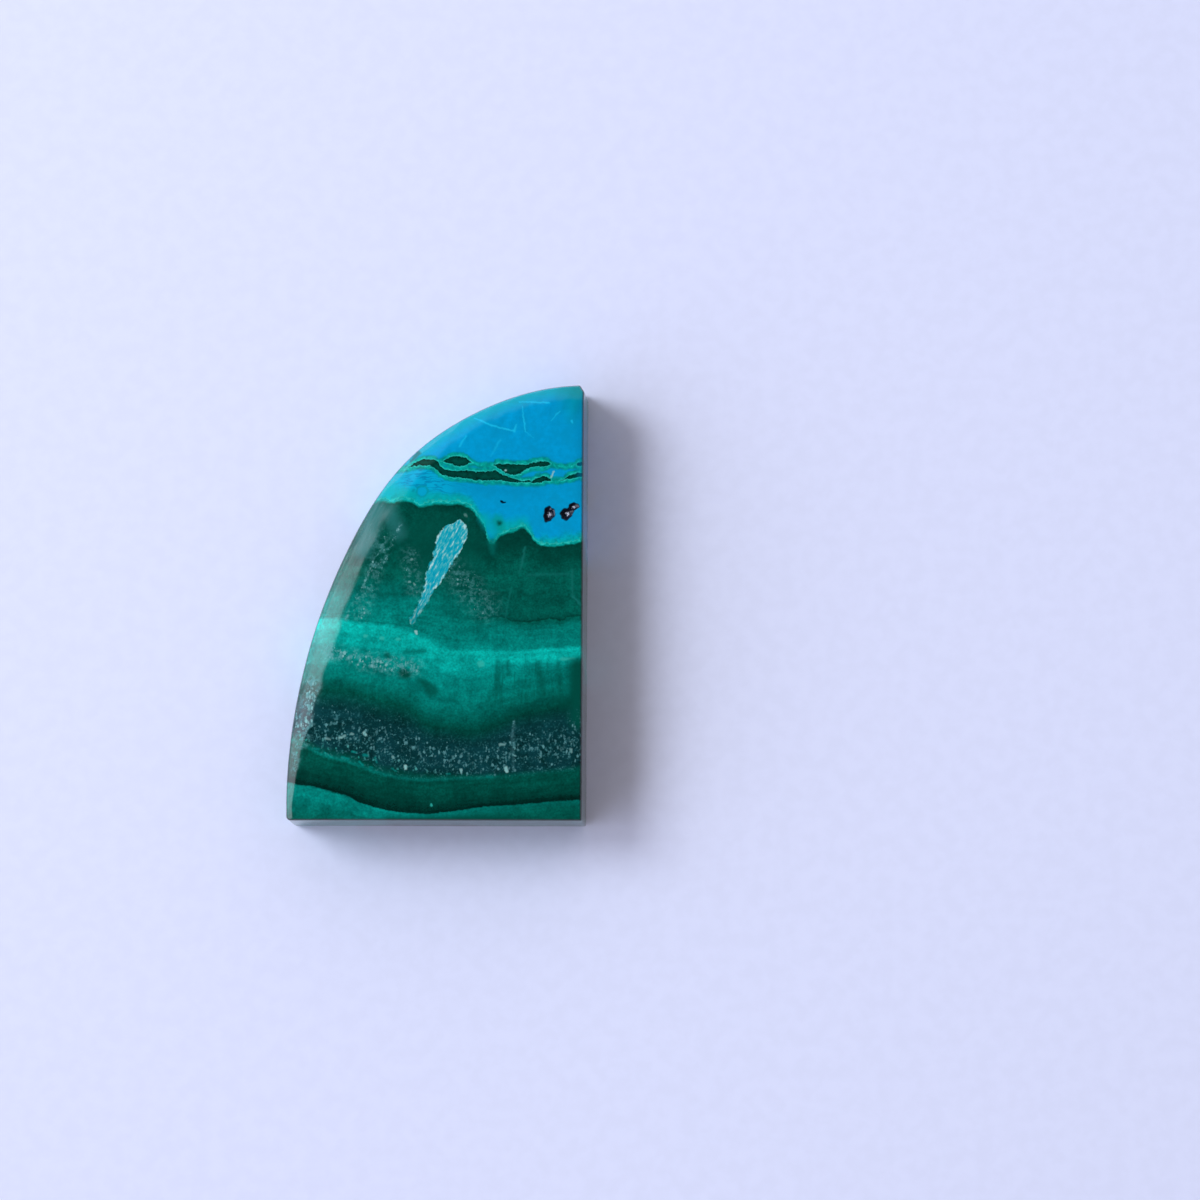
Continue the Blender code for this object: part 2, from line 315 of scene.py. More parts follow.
# Small marks, in families that share one colour and are laid over each other in this order. Each mark is a
# stroke: its start, its end, the half widths at both, its softness, all in millimetres, and its cover.
MARKS = (
    ("the dark dome under the blue", "dark green", (
        ((-0.3, 3.7), (1.0, 3.4), 2.1, 2.1, 1.0, 0.7),
        # This stroke darkens a strip along the middle of the foot's edge.
        ((-3.0, -15.1), (5.0, -15.0), 0.35, 0.40, 0.35, 0.9),
    )),
    ("the dark under the blue's hanging points", "deep green", (
        ((3.0, 3.6), (5.9, 4.0), 0.4, 0.5, 0.6, 0.5),
        ((7.5, 3.0), (10.2, 3.2), 0.4, 0.4, 0.5, 0.4),
    )),
    ("the greyish film beside the dome", "grey film", (
        ((-3.3, 6.1), (-2.5, 4.6), 0.6, 0.4, 0.5, 0.7),
        ((-4.1, 6.3), (-5.0, 3.6), 0.7, 0.6, 0.5, 0.85),
    )),
    ("the teal of the tip", "teal of the tip", (
        ((9.9, 15.2), (9.6, 13.4), 1.6, 0.6, 1.3, 0.9),
    )),
    ("the deeper blue along the long side", "deep blue", (
        ((10.3, 13.4), (10.3, 7.2), 0.7, 0.4, 0.6, 0.7),
        ((1.5, 7.7), (7.0, 7.4), 0.3, 0.3, 0.5, 0.3),
    )),
    ("the paler aqua under the vein", "aqua", (
        ((-3.4, 7.7), (-0.4, 7.15), 0.45, 0.25, 0.4, 0.75),
        ((-0.4, 7.15), (2.0, 7.0), 0.25, 0.15, 0.3, 0.6),
        ((3.3, 5.6), (3.9, 4.6), 0.35, 0.25, 0.35, 0.7),
        ((4.6, 5.2), (6.0, 5.4), 0.25, 0.30, 0.35, 0.6),
    )),
    ("hairlines in the blue", "hairline blue", (
        ((5.6, 13.73), (7.66, 13.65), 0.03, 0.05, 0.05, 0.9),
        ((2.52, 12.62), (3.49, 12.13), 0.03, 0.05, 0.05, 0.9),
        ((3.49, 12.13), (5.27, 11.64), 0.05, 0.05, 0.06, 0.9),
        ((5.27, 11.64), (5.41, 12.1), 0.10, 0.04, 0.07, 0.8),
        ((5.81, 13.38), (6.05, 11.6), 0.03, 0.05, 0.05, 0.8),
        ((6.05, 11.6), (6.6, 11.2), 0.03, 0.02, 0.06, 0.5),
        ((8.35, 13.02), (7.8, 12.33), 0.04, 0.02, 0.06, 0.8),
        ((1.99, 11.3), (1.51, 10.61), 0.05, 0.05, 0.08, 0.8),
        ((9.24, 12.33), (9.3, 12.25), 0.08, 0.06, 0.06, 0.8),
        ((4.3, 11.0), (3.7, 9.9), 0.05, 0.03, 0.12, 0.5),
    )),
    ("the green patch where the vein meets the curved side", "grey green", (
        ((-1.36, 10.27), (-1.84, 9.72), 0.20, 0.10, 0.10, 0.8),
    )),
    ("the ring and the dot under the vein", "teal", (
        ((-0.99, 7.5), (-0.95, 7.5), 0.42, 0.42, 0.07, 0.8),
        ((-1.61, 7.57), (-1.6, 7.6), 0.08, 0.08, 0.07, 0.8),
    )),
    ("the inside of the ring", "tip blue", (
        ((-0.99, 7.5), (-0.95, 7.5), 0.30, 0.30, 0.07, 0.9),
    )),
    ("the orb's halo", "light green", (
        ((4.2, 5.45), (4.35, 5.0), 0.40, 0.36, 0.26, 0.8),
    )),
    ("the glow under the hanging point", "middle green", (
        ((3.8, 3.9), (3.9, 3.2), 0.30, 0.10, 0.3, 0.7),
    )),
    ("the orb's heart", "dark green", (
        ((4.3, 5.28), (4.32, 5.26), 0.15, 0.15, 0.14, 0.95),
    )),
    ("the black dash", "ink", (
        ((4.43, 6.76), (4.70, 6.71), 0.09, 0.05, 0.04, 1.0),
    )),
    ("lighter streaks in the malachite", "streaky green", (
        ((6.09, 3.63), (5.89, 2.53), 0.06, 0.07, 0.10, 0.7),
        ((5.89, 2.53), (5.69, 1.84), 0.07, 0.03, 0.10, 0.6),
        ((9.3, 2.05), (9.38, 0.26), 0.06, 0.06, 0.12, 0.6),
        ((9.38, 0.26), (9.93, -0.35), 0.05, 0.05, 0.10, 0.9),
        ((5.16, 0.75), (4.77, -1.24), 0.04, 0.05, 0.10, 0.5),
        ((6.31, 1.7), (9.03, 1.75), 0.05, 0.05, 0.14, 0.5),
    )),
    ("dark seams in the malachite", "deep green", (
        ((3.39, 0.47), (4.89, 0.47), 0.10, 0.10, 0.20, 0.6),
        ((5.43, 0.75), (6.32, 0.27), 0.08, 0.08, 0.16, 0.6),
        ((6.32, 0.27), (7.47, 0.47), 0.08, 0.06, 0.16, 0.6),
        ((-3.84, 0.4), (-1.04, 0.4), 0.10, 0.10, 0.25, 0.6),
    )),
    ("spots along the light line", "spot green", (
        ((-4.76, -2.47), (-4.65, -2.47), 0.11, 0.09, 0.08, 0.8),
        ((-3.65, -2.61), (-3.5, -2.61), 0.11, 0.09, 0.08, 0.8),
        ((-2.56, -2.68), (-2.42, -2.68), 0.09, 0.09, 0.08, 0.7),
        ((3.16, -4.38), (3.17, -4.38), 0.22, 0.22, 0.10, 0.8),
        ((8.66, -4.04), (9.5, -4.0), 0.10, 0.06, 0.10, 0.7),
        ((-0.13, -13.93), (-0.1, -13.98), 0.09, 0.07, 0.06, 0.8),
    )),
    ("dark blotches and seams under the light line", "dark green", (
        ((-3.24, -3.77), (-3.1, -3.9), 0.22, 0.18, 0.18, 0.7),
        ((-2.02, -3.55), (-0.66, -3.5), 0.14, 0.16, 0.18, 0.6),
        ((-2.1, -5.0), (-1.9, -5.1), 0.34, 0.30, 0.22, 1.0),
        ((-0.80, -5.6), (-0.1, -6.2), 0.30, 0.45, 0.28, 0.8),
        ((4.25, -4.3), (4.26, -5.47), 0.16, 0.14, 0.16, 0.6),
        ((4.99, -4.2), (5.0, -5.13), 0.14, 0.14, 0.14, 0.6),
        ((7.03, -4.45), (7.45, -6.4), 0.26, 0.22, 0.3, 0.6),
        ((8.39, -4.3), (8.60, -6.6), 0.16, 0.2, 0.25, 0.6),
        ((9.75, -4.6), (9.9, -8.0), 0.65, 0.75, 0.5, 1.0),
        ((8.0, -6.6), (10.0, -7.6), 0.3, 0.5, 0.5, 0.6),
    )),
    ("the pale seam in the speckled band", "seam grey", (
        ((5.44, -8.4), (5.31, -9.34), 0.04, 0.08, 0.10, 0.4),
        ((5.31, -9.34), (5.46, -11.58), 0.08, 0.04, 0.12, 0.3),
    )),
    ("greener flecks under the speckles", "light green", (
        ((-8.1, -10.1), (-7.8, -10.2), 0.06, 0.05, 0.08, 0.5),
        ((-7.38, -10.44), (-6.9, -10.7), 0.07, 0.05, 0.08, 0.6),
        ((-6.2, -10.72), (-5.72, -10.87), 0.07, 0.06, 0.09, 0.6),
        ((-5.47, -10.37), (-5.2, -10.42), 0.06, 0.04, 0.09, 0.7),
        ((-4.7, -10.6), (-4.45, -10.65), 0.09, 0.07, 0.10, 0.6),
        ((-3.95, -10.8), (-3.85, -11.1), 0.06, 0.04, 0.09, 0.6),
        ((-4.98, -11.05), (-4.78, -11.28), 0.06, 0.05, 0.07, 0.6),
        ((-4.3, -11.4), (-4.15, -11.45), 0.05, 0.04, 0.07, 0.5),
        ((-2.77, -11.51), (-2.52, -11.7), 0.05, 0.04, 0.07, 0.5),
        ((0.9, -11.83), (1.15, -11.86), 0.05, 0.04, 0.07, 0.4),
        ((3.6, -12.0), (4.0, -12.03), 0.05, 0.05, 0.09, 0.3),
    )),
    ("the dark notch beside it", "black green", (
        ((7.15, -10.76), (7.42, -10.98), 0.16, 0.12, 0.08, 0.9),
    )),
    ("single pale crystals", "single crystal", (
        ((7.83, 8.42), (8.03, 8.87), 0.05, 0.05, 0.04, 0.9),
        ((4.72, 8.91), (4.74, 8.92), 0.07, 0.07, 0.05, 0.9),
        ((-1.62, 2.81), (-1.66, 2.77), 0.07, 0.05, 0.06, 0.4),
        ((-1.8, 1.23), (-1.72, 1.2), 0.07, 0.05, 0.06, 0.5),
        ((-1.46, 1.09), (-1.4, 1.05), 0.06, 0.05, 0.06, 0.5),
        ((-1.28, -2.2), (-1.24, -2.3), 0.10, 0.06, 0.05, 1.0),
        ((1.97, 5.84), (2.1, 5.75), 0.08, 0.06, 0.08, 0.3),
        ((-7.3, -9.42), (-7.05, -9.5), 0.08, 0.05, 0.06, 0.5),
        ((-6.4, -9.43), (-6.02, -9.30), 0.08, 0.06, 0.06, 0.7),
        ((-5.6, -9.14), (-5.45, -9.2), 0.10, 0.06, 0.06, 0.7),
        ((-4.72, -9.10), (-4.62, -9.22), 0.11, 0.08, 0.06, 0.9),
        ((-2.74, -10.71), (-2.70, -10.8), 0.10, 0.06, 0.06, 0.7),
        ((-1.92, -11.35), (-1.9, -11.5), 0.11, 0.08, 0.06, 1.0),
        ((1.88, -11.60), (1.9, -11.75), 0.10, 0.07, 0.06, 0.8),
        ((4.92, -11.45), (4.98, -11.7), 0.11, 0.08, 0.06, 0.9),
        ((4.5, -9.89), (4.8, -9.85), 0.09, 0.06, 0.06, 0.6),
        ((9.31, -10.2), (9.35, -10.35), 0.10, 0.07, 0.06, 0.6),
    )),
)

# Frosty patches: soft strokes, with their strengths, inside which a fine haze and small crystals turn pale
FROST_PATCHES = (
    ((-7.2, -3.5), (-5.6, -3.9), 0.50, 0.40, 0.4, 1.0),
    ((-4.8, -4.2), (-1.4, -4.6), 0.50, 0.45, 0.5, 1.0),
    ((-5.0, -1.0), (-3.6, 4.2), 0.40, 0.45, 0.5, 0.55),
    ((-2.42, 5.18), (-3.91, 1.68), 0.10, 0.06, 0.16, 1.0),
    ((-3.4, 4.5), (-4.82, 0.86), 0.06, 0.10, 0.14, 1.0),
    ((-4.23, 2.71), (-5.6, -0.7), 0.10, 0.08, 0.18, 1.0),
    ((-4.83, 1.0), (-6.1, -1.3), 0.10, 0.08, 0.20, 0.9),
    ((0.9, 2.2), (3.4, -0.4), 0.80, 0.90, 0.7, 0.5),
    ((-1.8, 3.0), (-1.4, 0.8), 0.50, 0.50, 0.5, 0.5),
    ((-8.4, -5.8), (-9.0, -9.6), 0.55, 0.45, 0.4, 1.0),
    ((-9.3, -9.8), (-9.5, -11.6), 0.30, 0.20, 0.3, 0.8),
    ((5.44, -8.3), (5.42, -11.6), 0.08, 0.05, 0.12, 1.0),
)


def smooth_step(low, high, value):
    """A smooth rise from 0 at the low end to 1 at the high end, which may lie either way round."""
    share = np.clip((value - low) / (high - low), 0.0, 1.0)
    return share * share * (3 - 2 * share)


def fullness(angle):
    """How far the curved side stands out of the true ellipse."""
    return sum(height * np.exp(-(((angle - middle) / reach) ** 2)) for height, middle, reach in FULLER_PLACES)


CURVE_WIDTH = WIDTH - fullness(0)
CURVE_LENGTH = LENGTH - CURVE_FOOT - fullness(pi / 2)


def curve_points(angles, inset):
    """The points of the curved side at some angles, moved in along their normals, in the plan."""
    angles = np.atleast_1d(angles)
    normals = np.stack((-np.cos(angles) / CURVE_WIDTH, np.sin(angles) / CURVE_LENGTH), axis=1)
    normals /= np.linalg.norm(normals, axis=1)[:, None]
    points = np.stack((-CURVE_WIDTH * np.cos(angles), CURVE_FOOT + CURVE_LENGTH * np.sin(angles)), axis=1)
    return points + normals * (fullness(angles) - inset)[:, None]


def beyond_cut(points, inset):
    """How far points lie outside the slanting cut at the narrow end."""
    outward = np.array((CUT_LENGTH, CUT_WIDTH)) / np.hypot(CUT_LENGTH, CUT_WIDTH)
    return (points - np.array((-CUT_WIDTH, LENGTH))) @ outward + inset


def angle_where(level):
    """The angle of the curved side where a rising value passes zero."""
    low = -pi / 36
    high = pi / 2
    for _ in range(40):
        middle = (low + high) / 2
        if level(middle) < 0:
            low = middle
        else:
            high = middle
    return (low + high) / 2


def between(start, end, steps):
    """Points from start towards end, without the end."""
    return start + (end - start) * (np.arange(steps) / steps)[:, None]


def rounded_corner(corner, before, after, radius):
    """The points of a rounded corner, without its last one, and its two ends."""
    start = corner + (before - corner) / np.linalg.norm(before - corner) * radius
    end = corner + (after - corner) / np.linalg.norm(after - corner) * radius
    share = (np.arange(CORNER_STEPS) / CORNER_STEPS)[:, None]
    inwards = start * (1 - share) + corner * share
    outwards = corner * (1 - share) + end * share
    points = inwards * (1 - share) + outwards * share
    return points, start, end


def outline(inset):
    """The stone's outline in the plan, moved in by the same inset on every side."""

    def beyond_tip(angle):
        point = curve_points(angle, inset)[0]
        return max(beyond_cut(point, inset), point[0] + inset)

    foot_angle = angle_where(lambda angle: curve_points(angle, inset)[0][1] - inset)
    tip_angle = angle_where(beyond_tip)
    foot_corner = curve_points(foot_angle, inset)[0]
    square_corner = np.array((-inset, inset))
    tip = curve_points(tip_angle, inset)[0]
    cut_fall = max((square_corner[0] - tip[0]) * CUT_LENGTH / CUT_WIDTH, SHORTEST_CUT)
    cut_end = np.array((square_corner[0], tip[1] - cut_fall))
    up_the_curve = curve_points(foot_angle + CORNER_ANGLE, inset)[0]
    foot_points, curve_end, short_start = rounded_corner(
        foot_corner, up_the_curve, square_corner, FOOT_CORNER_RADIUS
    )
    square_points, short_end, long_start = rounded_corner(
        square_corner, foot_corner, cut_end, SQUARE_CORNER_RADIUS
    )
    curve_end_angle = angle_where(lambda angle: curve_points(angle, inset)[0][1] - curve_end[1])
    curve_share = np.arange(CURVE_STEPS) / CURVE_STEPS
    long_shares, long_steps = zip(*LONG_SIDE_SHARES)
    long_share = np.interp(np.arange(long_steps[-1]), long_steps, long_shares)
    return np.concatenate((
        curve_points(tip_angle + (curve_end_angle - tip_angle) * curve_share, inset),
        foot_points,
        between(short_start, short_end, SHORT_SIDE_STEPS),
        square_points,
        long_start + (cut_end - long_start) * long_share[:, None],
        between(cut_end, tip, CUT_STEPS),
    ))


# The face's own edge is where the leaning walls end.
FACE_INSET = (THICKNESS - BACK_BEVEL) * tan(WALL_LEAN)
CURVED_EDGE = curve_points(np.radians(np.arange(-12, 196) / 2), FACE_INSET)


def distance_to_curve(points):
    """The distances from points of the plan to the face's curved edge."""
    start = CURVED_EDGE[:-1]
    along = CURVED_EDGE[1:] - start
    offset = points[:, None, :] - start[None, :, :]
    share = np.clip((offset * along).sum(axis=2) / (along * along).sum(axis=1), 0.0, 1.0)
    return np.linalg.norm(offset - share[:, :, None] * along, axis=2).min(axis=1)


def roll_off(distance, width, drop, power):
    """How far a rounded edge has fallen at a distance from its side."""
    return drop * np.clip(1 - np.maximum(distance, 0.0) / width, 0.0, None) ** power


def face_heights(points):
    """The heights of the polished face over points of the plan, without its pits."""
    to_curve = distance_to_curve(points)
    to_straight = np.minimum(np.minimum(-points[:, 0], points[:, 1]), -beyond_cut(points, 0.0)) - FACE_INSET
    foot = smooth_step(0.0, SHOULDER_FOOT_REACH, points[:, 1])
    tip = smooth_step(*SHOULDER_TIP_REACH, -points[:, 0])
    size = SHOULDER_AT_FOOT + (1 - SHOULDER_AT_FOOT) * foot
    size *= SHOULDER_AT_TIP + (1 - SHOULDER_AT_TIP) * tip
    shoulder = roll_off(to_curve, SHOULDER_WIDTH * size, SHOULDER_DROP * size, SHOULDER_POWER)
    edge = roll_off(np.minimum(to_straight, to_curve), EDGE_ROUND, EDGE_ROUND, 2)
    crown = roll_off(to_curve, CROWN_WIDTH, CROWN_DROP, 2)
    return THICKNESS - shoulder - edge - crown


def uneven(points, wave_lengths, seed):
    """An uneven surface over points of the plan, from 0 to 1, made of waves that cross in all directions."""
    chance = np.random.default_rng(seed)
    rise = np.zeros(len(points))
    for wave_length in wave_lengths:
        turn, start = chance.uniform(0, 2 * pi, 2)
        along = points @ np.array((cos(turn), sin(turn)))
        rise += np.sin(2 * pi * along / wave_length + start)
    return (rise / len(wave_lengths) + 1) / 2


def shoulder_only(points):
    """How much of the rounded shoulder a point of the face belongs to, from 0 at the flat to 1."""
    from_edge = distance_to_curve(points)
    return smooth_step(0.0, SHOULDER_WAVES_START, from_edge) * smooth_step(*SHOULDER_WAVES_END, from_edge)


def pit_shapes(points, seed):
    """How deep the pits are under points of the plan, and how near each point is to a pit (1 at a rim)."""
    chance = np.random.default_rng(seed)
    depths = np.zeros(len(points))
    nearness = np.full(len(points), FAR_FROM_PITS)
    for number, (middle, half_size, depth, turn) in enumerate(PITS, start=1):
        turned = np.array(((cos(turn), sin(turn)), (-sin(turn), cos(turn))))
        crystals = chance.uniform(-0.75, 0.75, (CRYSTALS_IN_A_PIT, 2))
        heights = chance.uniform(0.15, 0.5, CRYSTALS_IN_A_PIT)
        local = ((points - np.array(middle)) @ turned.T) / np.array(half_size)
        around = np.arctan2(local[:, 1], local[:, 0])
        lumps = 1 + 0.10 * np.sin(3 * around + number) + 0.06 * np.sin(7 * around + 2 * number)
        radius = np.linalg.norm(local, axis=1) / lumps
        rise = np.zeros(len(points))
        for crystal, height in zip(crystals, heights):
            away = np.abs(local - crystal).sum(axis=1)
            rise = np.maximum(rise, height * np.clip(1 - away / CRYSTAL_REACH, 0.0, 1.0))
        depths = np.maximum(depths, depth * smooth_step(1.0, 0.55, radius) * (1 - rise))
        nearness = np.minimum(nearness, radius)
    return depths, nearness


def in_frame(points, heights):
    """Points of the plan at some heights, in the stone's own frame."""
    return np.column_stack((points[:, 0] + WIDTH / 2, points[:, 1] - LENGTH / 2, heights))


def add(tree, kind, inputs=None, output=0, **settings):
    """Adds one node with its settings and links, and gives back one of its outputs."""
    node = tree.nodes.new(kind)
    for name, value in settings.items():
        setattr(node, name, value)
    for name, value in (inputs or {}).items():
        if isinstance(value, bpy.types.NodeSocket):
            tree.links.new(value, node.inputs[name])
        else:
            node.inputs[name].default_value = value
    return node.outputs[output]


MATH = "ShaderNodeMath"
MIX = "ShaderNodeMix"
NOISE = "ShaderNodeTexNoise"
RANGE = "ShaderNodeMapRange"
VECTOR_MATH = "ShaderNodeVectorMath"
# A soft range stops at its ends by itself, and a plain one is only used where its value stays inside. Neither
# asks for clamping, because each clamp adds a node at the end of the shader, which makes it too long to run.
SOFT = {"interpolation_type": "SMOOTHSTEP", "clamp": False}
PLAIN = {"clamp": False}
# A colour mix has its factor, its two colours and its result at these places of the Mix node.
FACTOR = 0
UNDER = 6
OVER = 7
MIXED = 2
COLOURS = {"data_type": "RGBA"}
# A vector is scaled by the input at this place of its node.
SCALE = 3


def lay_guide(curve_output, points):
    """Puts a guide line's points into a float curve, in millimetres."""
    mapping = curve_output.node.mapping
    mapping.use_clip = False
    line = mapping.curves[0]
    line.points[0].location = points[0]
    line.points[1].location = points[-1]
    for place in points[1:-1]:
        line.points.new(*place)
    for point in line.points:
        point.handle_type = "AUTO_CLAMPED"
    mapping.update()


def shade_of(name):
    """A named colour of the stone, or a hex colour, as linear light."""
    return linear(SHADES.get(name, name))


def lay_stops(ramp_output, stops, top=1.0):
    """Puts colour stops, each a place up to the top and a colour, into a colour ramp."""
    ramp = ramp_output.node.color_ramp
    while len(ramp.elements) > 1:
        ramp.elements.remove(ramp.elements[-1])
    ramp.elements[0].position = stops[0][0] / top
    ramp.elements[0].color = shade_of(stops[0][1])
    for place, colour in stops[1:]:
        ramp.elements.new(place / top).color = shade_of(colour)


def stroke_group():
    """A node group that draws one tapered stroke with round ends, as a mask from 0 to 1."""
    tree = bpy.data.node_groups.new("tapered stroke", "ShaderNodeTree")
    for name in ("Place", "Start", "End"):
        tree.interface.new_socket(name, in_out="INPUT", socket_type="NodeSocketVector")
    for name in ("Start Width", "End Width", "Softness", "Cover"):
        tree.interface.new_socket(name, in_out="INPUT", socket_type="NodeSocketFloat")
    tree.interface.new_socket("Mask", in_out="OUTPUT", socket_type="NodeSocketFloat")
    given = tree.nodes.new("NodeGroupInput").outputs
    from_start = add(tree, VECTOR_MATH, {0: given["Place"], 1: given["Start"]}, operation="SUBTRACT")
    whole = add(tree, VECTOR_MATH, {0: given["End"], 1: given["Start"]}, operation="SUBTRACT")
    along = add(tree, VECTOR_MATH, {0: from_start, 1: whole}, "Value", operation="DOT_PRODUCT")
    square = add(tree, VECTOR_MATH, {0: whole, 1: whole}, "Value", operation="DOT_PRODUCT")
    share = add(tree, MATH, {0: along, 1: square}, operation="DIVIDE")
    share = add(tree, "ShaderNodeClamp", {"Value": share})
    foot = add(tree, VECTOR_MATH, {0: whole, SCALE: share}, operation="SCALE")
    away = add(tree, VECTOR_MATH, {0: from_start, 1: foot}, "Value", operation="DISTANCE")
    width = add(tree, RANGE, {"Value": share,
                              "To Min": given["Start Width"], "To Max": given["End Width"]}, **PLAIN)
    outer = add(tree, MATH, {0: width, 1: given["Softness"]}, operation="ADD")
    inner = add(tree, MATH, {0: width, 1: given["Softness"]}, operation="SUBTRACT")
    mask = add(
        tree, RANGE, {"Value": away, "From Min": outer, "From Max": inner, "To Max": given["Cover"]}, **SOFT,
    )
    result = tree.nodes.new("NodeGroupOutput")
    tree.links.new(mask, result.inputs["Mask"])
    return tree


def strokes_cover(tree, stroke, place, strokes):
    """How much the strokes cover each point, each from its start to its end, as a mask from 0 to 1."""
    covered = 0.0
    for start, end, start_width, end_width, softness, cover in strokes:
        mask = add(tree, "ShaderNodeGroup", {
            "Place": place, "Start": (*start, 0), "End": (*end, 0), "Start Width": start_width,
            "End Width": end_width, "Softness": softness, "Cover": cover,
        }, node_tree=stroke)
        covered = add(tree, MATH, {0: covered, 1: mask}, operation="MAXIMUM")
    return covered


def layer_places(tree):
    """The nodes that give each point of the stone its place in the bands, in millimetres.

    The bands dip gently under the face, so they run on down the walls and lie further along on the back.
    """
    body = add(tree, "ShaderNodeTexCoord", output="Object")
    body = add(tree, VECTOR_MATH, {0: body, SCALE: 1 / MM}, operation="SCALE")
    parts = add(tree, "ShaderNodeSeparateXYZ", {0: body}).node.outputs
    depth = add(tree, MATH, {0: LEVEL_BANDS_DEPTH, 1: parts["Z"]}, operation="SUBTRACT")
    depth = add(tree, MATH, {0: depth, 1: 0.0}, operation="MAXIMUM")
    dipped = add(tree, MATH, {0: depth, 1: BAND_DIP, 2: parts["Y"]}, operation="MULTIPLY_ADD")
    flat = add(tree, "ShaderNodeCombineXYZ", {"X": parts["X"], "Y": dipped, "Z": 0.0})
    slow = add(tree, NOISE, {"Vector": body, "Scale": WANDERS_PER_MM, "Detail": 1.0}, "Color")
    slow = add(tree, VECTOR_MATH, {0: slow, 1: (0.5, 0.5, 0.5)}, operation="SUBTRACT")
    reach = add(tree, MATH, {0: depth, 1: 0.30, 2: 0.10}, operation="MULTIPLY_ADD")
    slow = add(tree, VECTOR_MATH, {0: slow, SCALE: reach}, operation="SCALE")
    ragged = {"Vector": body, "Scale": RAGS_PER_MM, "Detail": 3.0, "Roughness": 0.6}
    ragged = add(tree, NOISE, ragged, "Color")
    ragged = add(tree, VECTOR_MATH, {0: ragged, 1: (0.5, 0.5, 0.5)}, operation="SUBTRACT")
    ragged = add(tree, VECTOR_MATH, {0: ragged, SCALE: 0.22}, operation="SCALE")
    moved = add(tree, VECTOR_MATH, {0: flat, 1: slow}, operation="ADD")
    moved = add(tree, VECTOR_MATH, {0: moved, 1: ragged}, operation="ADD")
    moved = add(tree, VECTOR_MATH, {0: moved, 1: (1.0, 1.0, 0.0)}, operation="MULTIPLY")
    return body, parts, moved


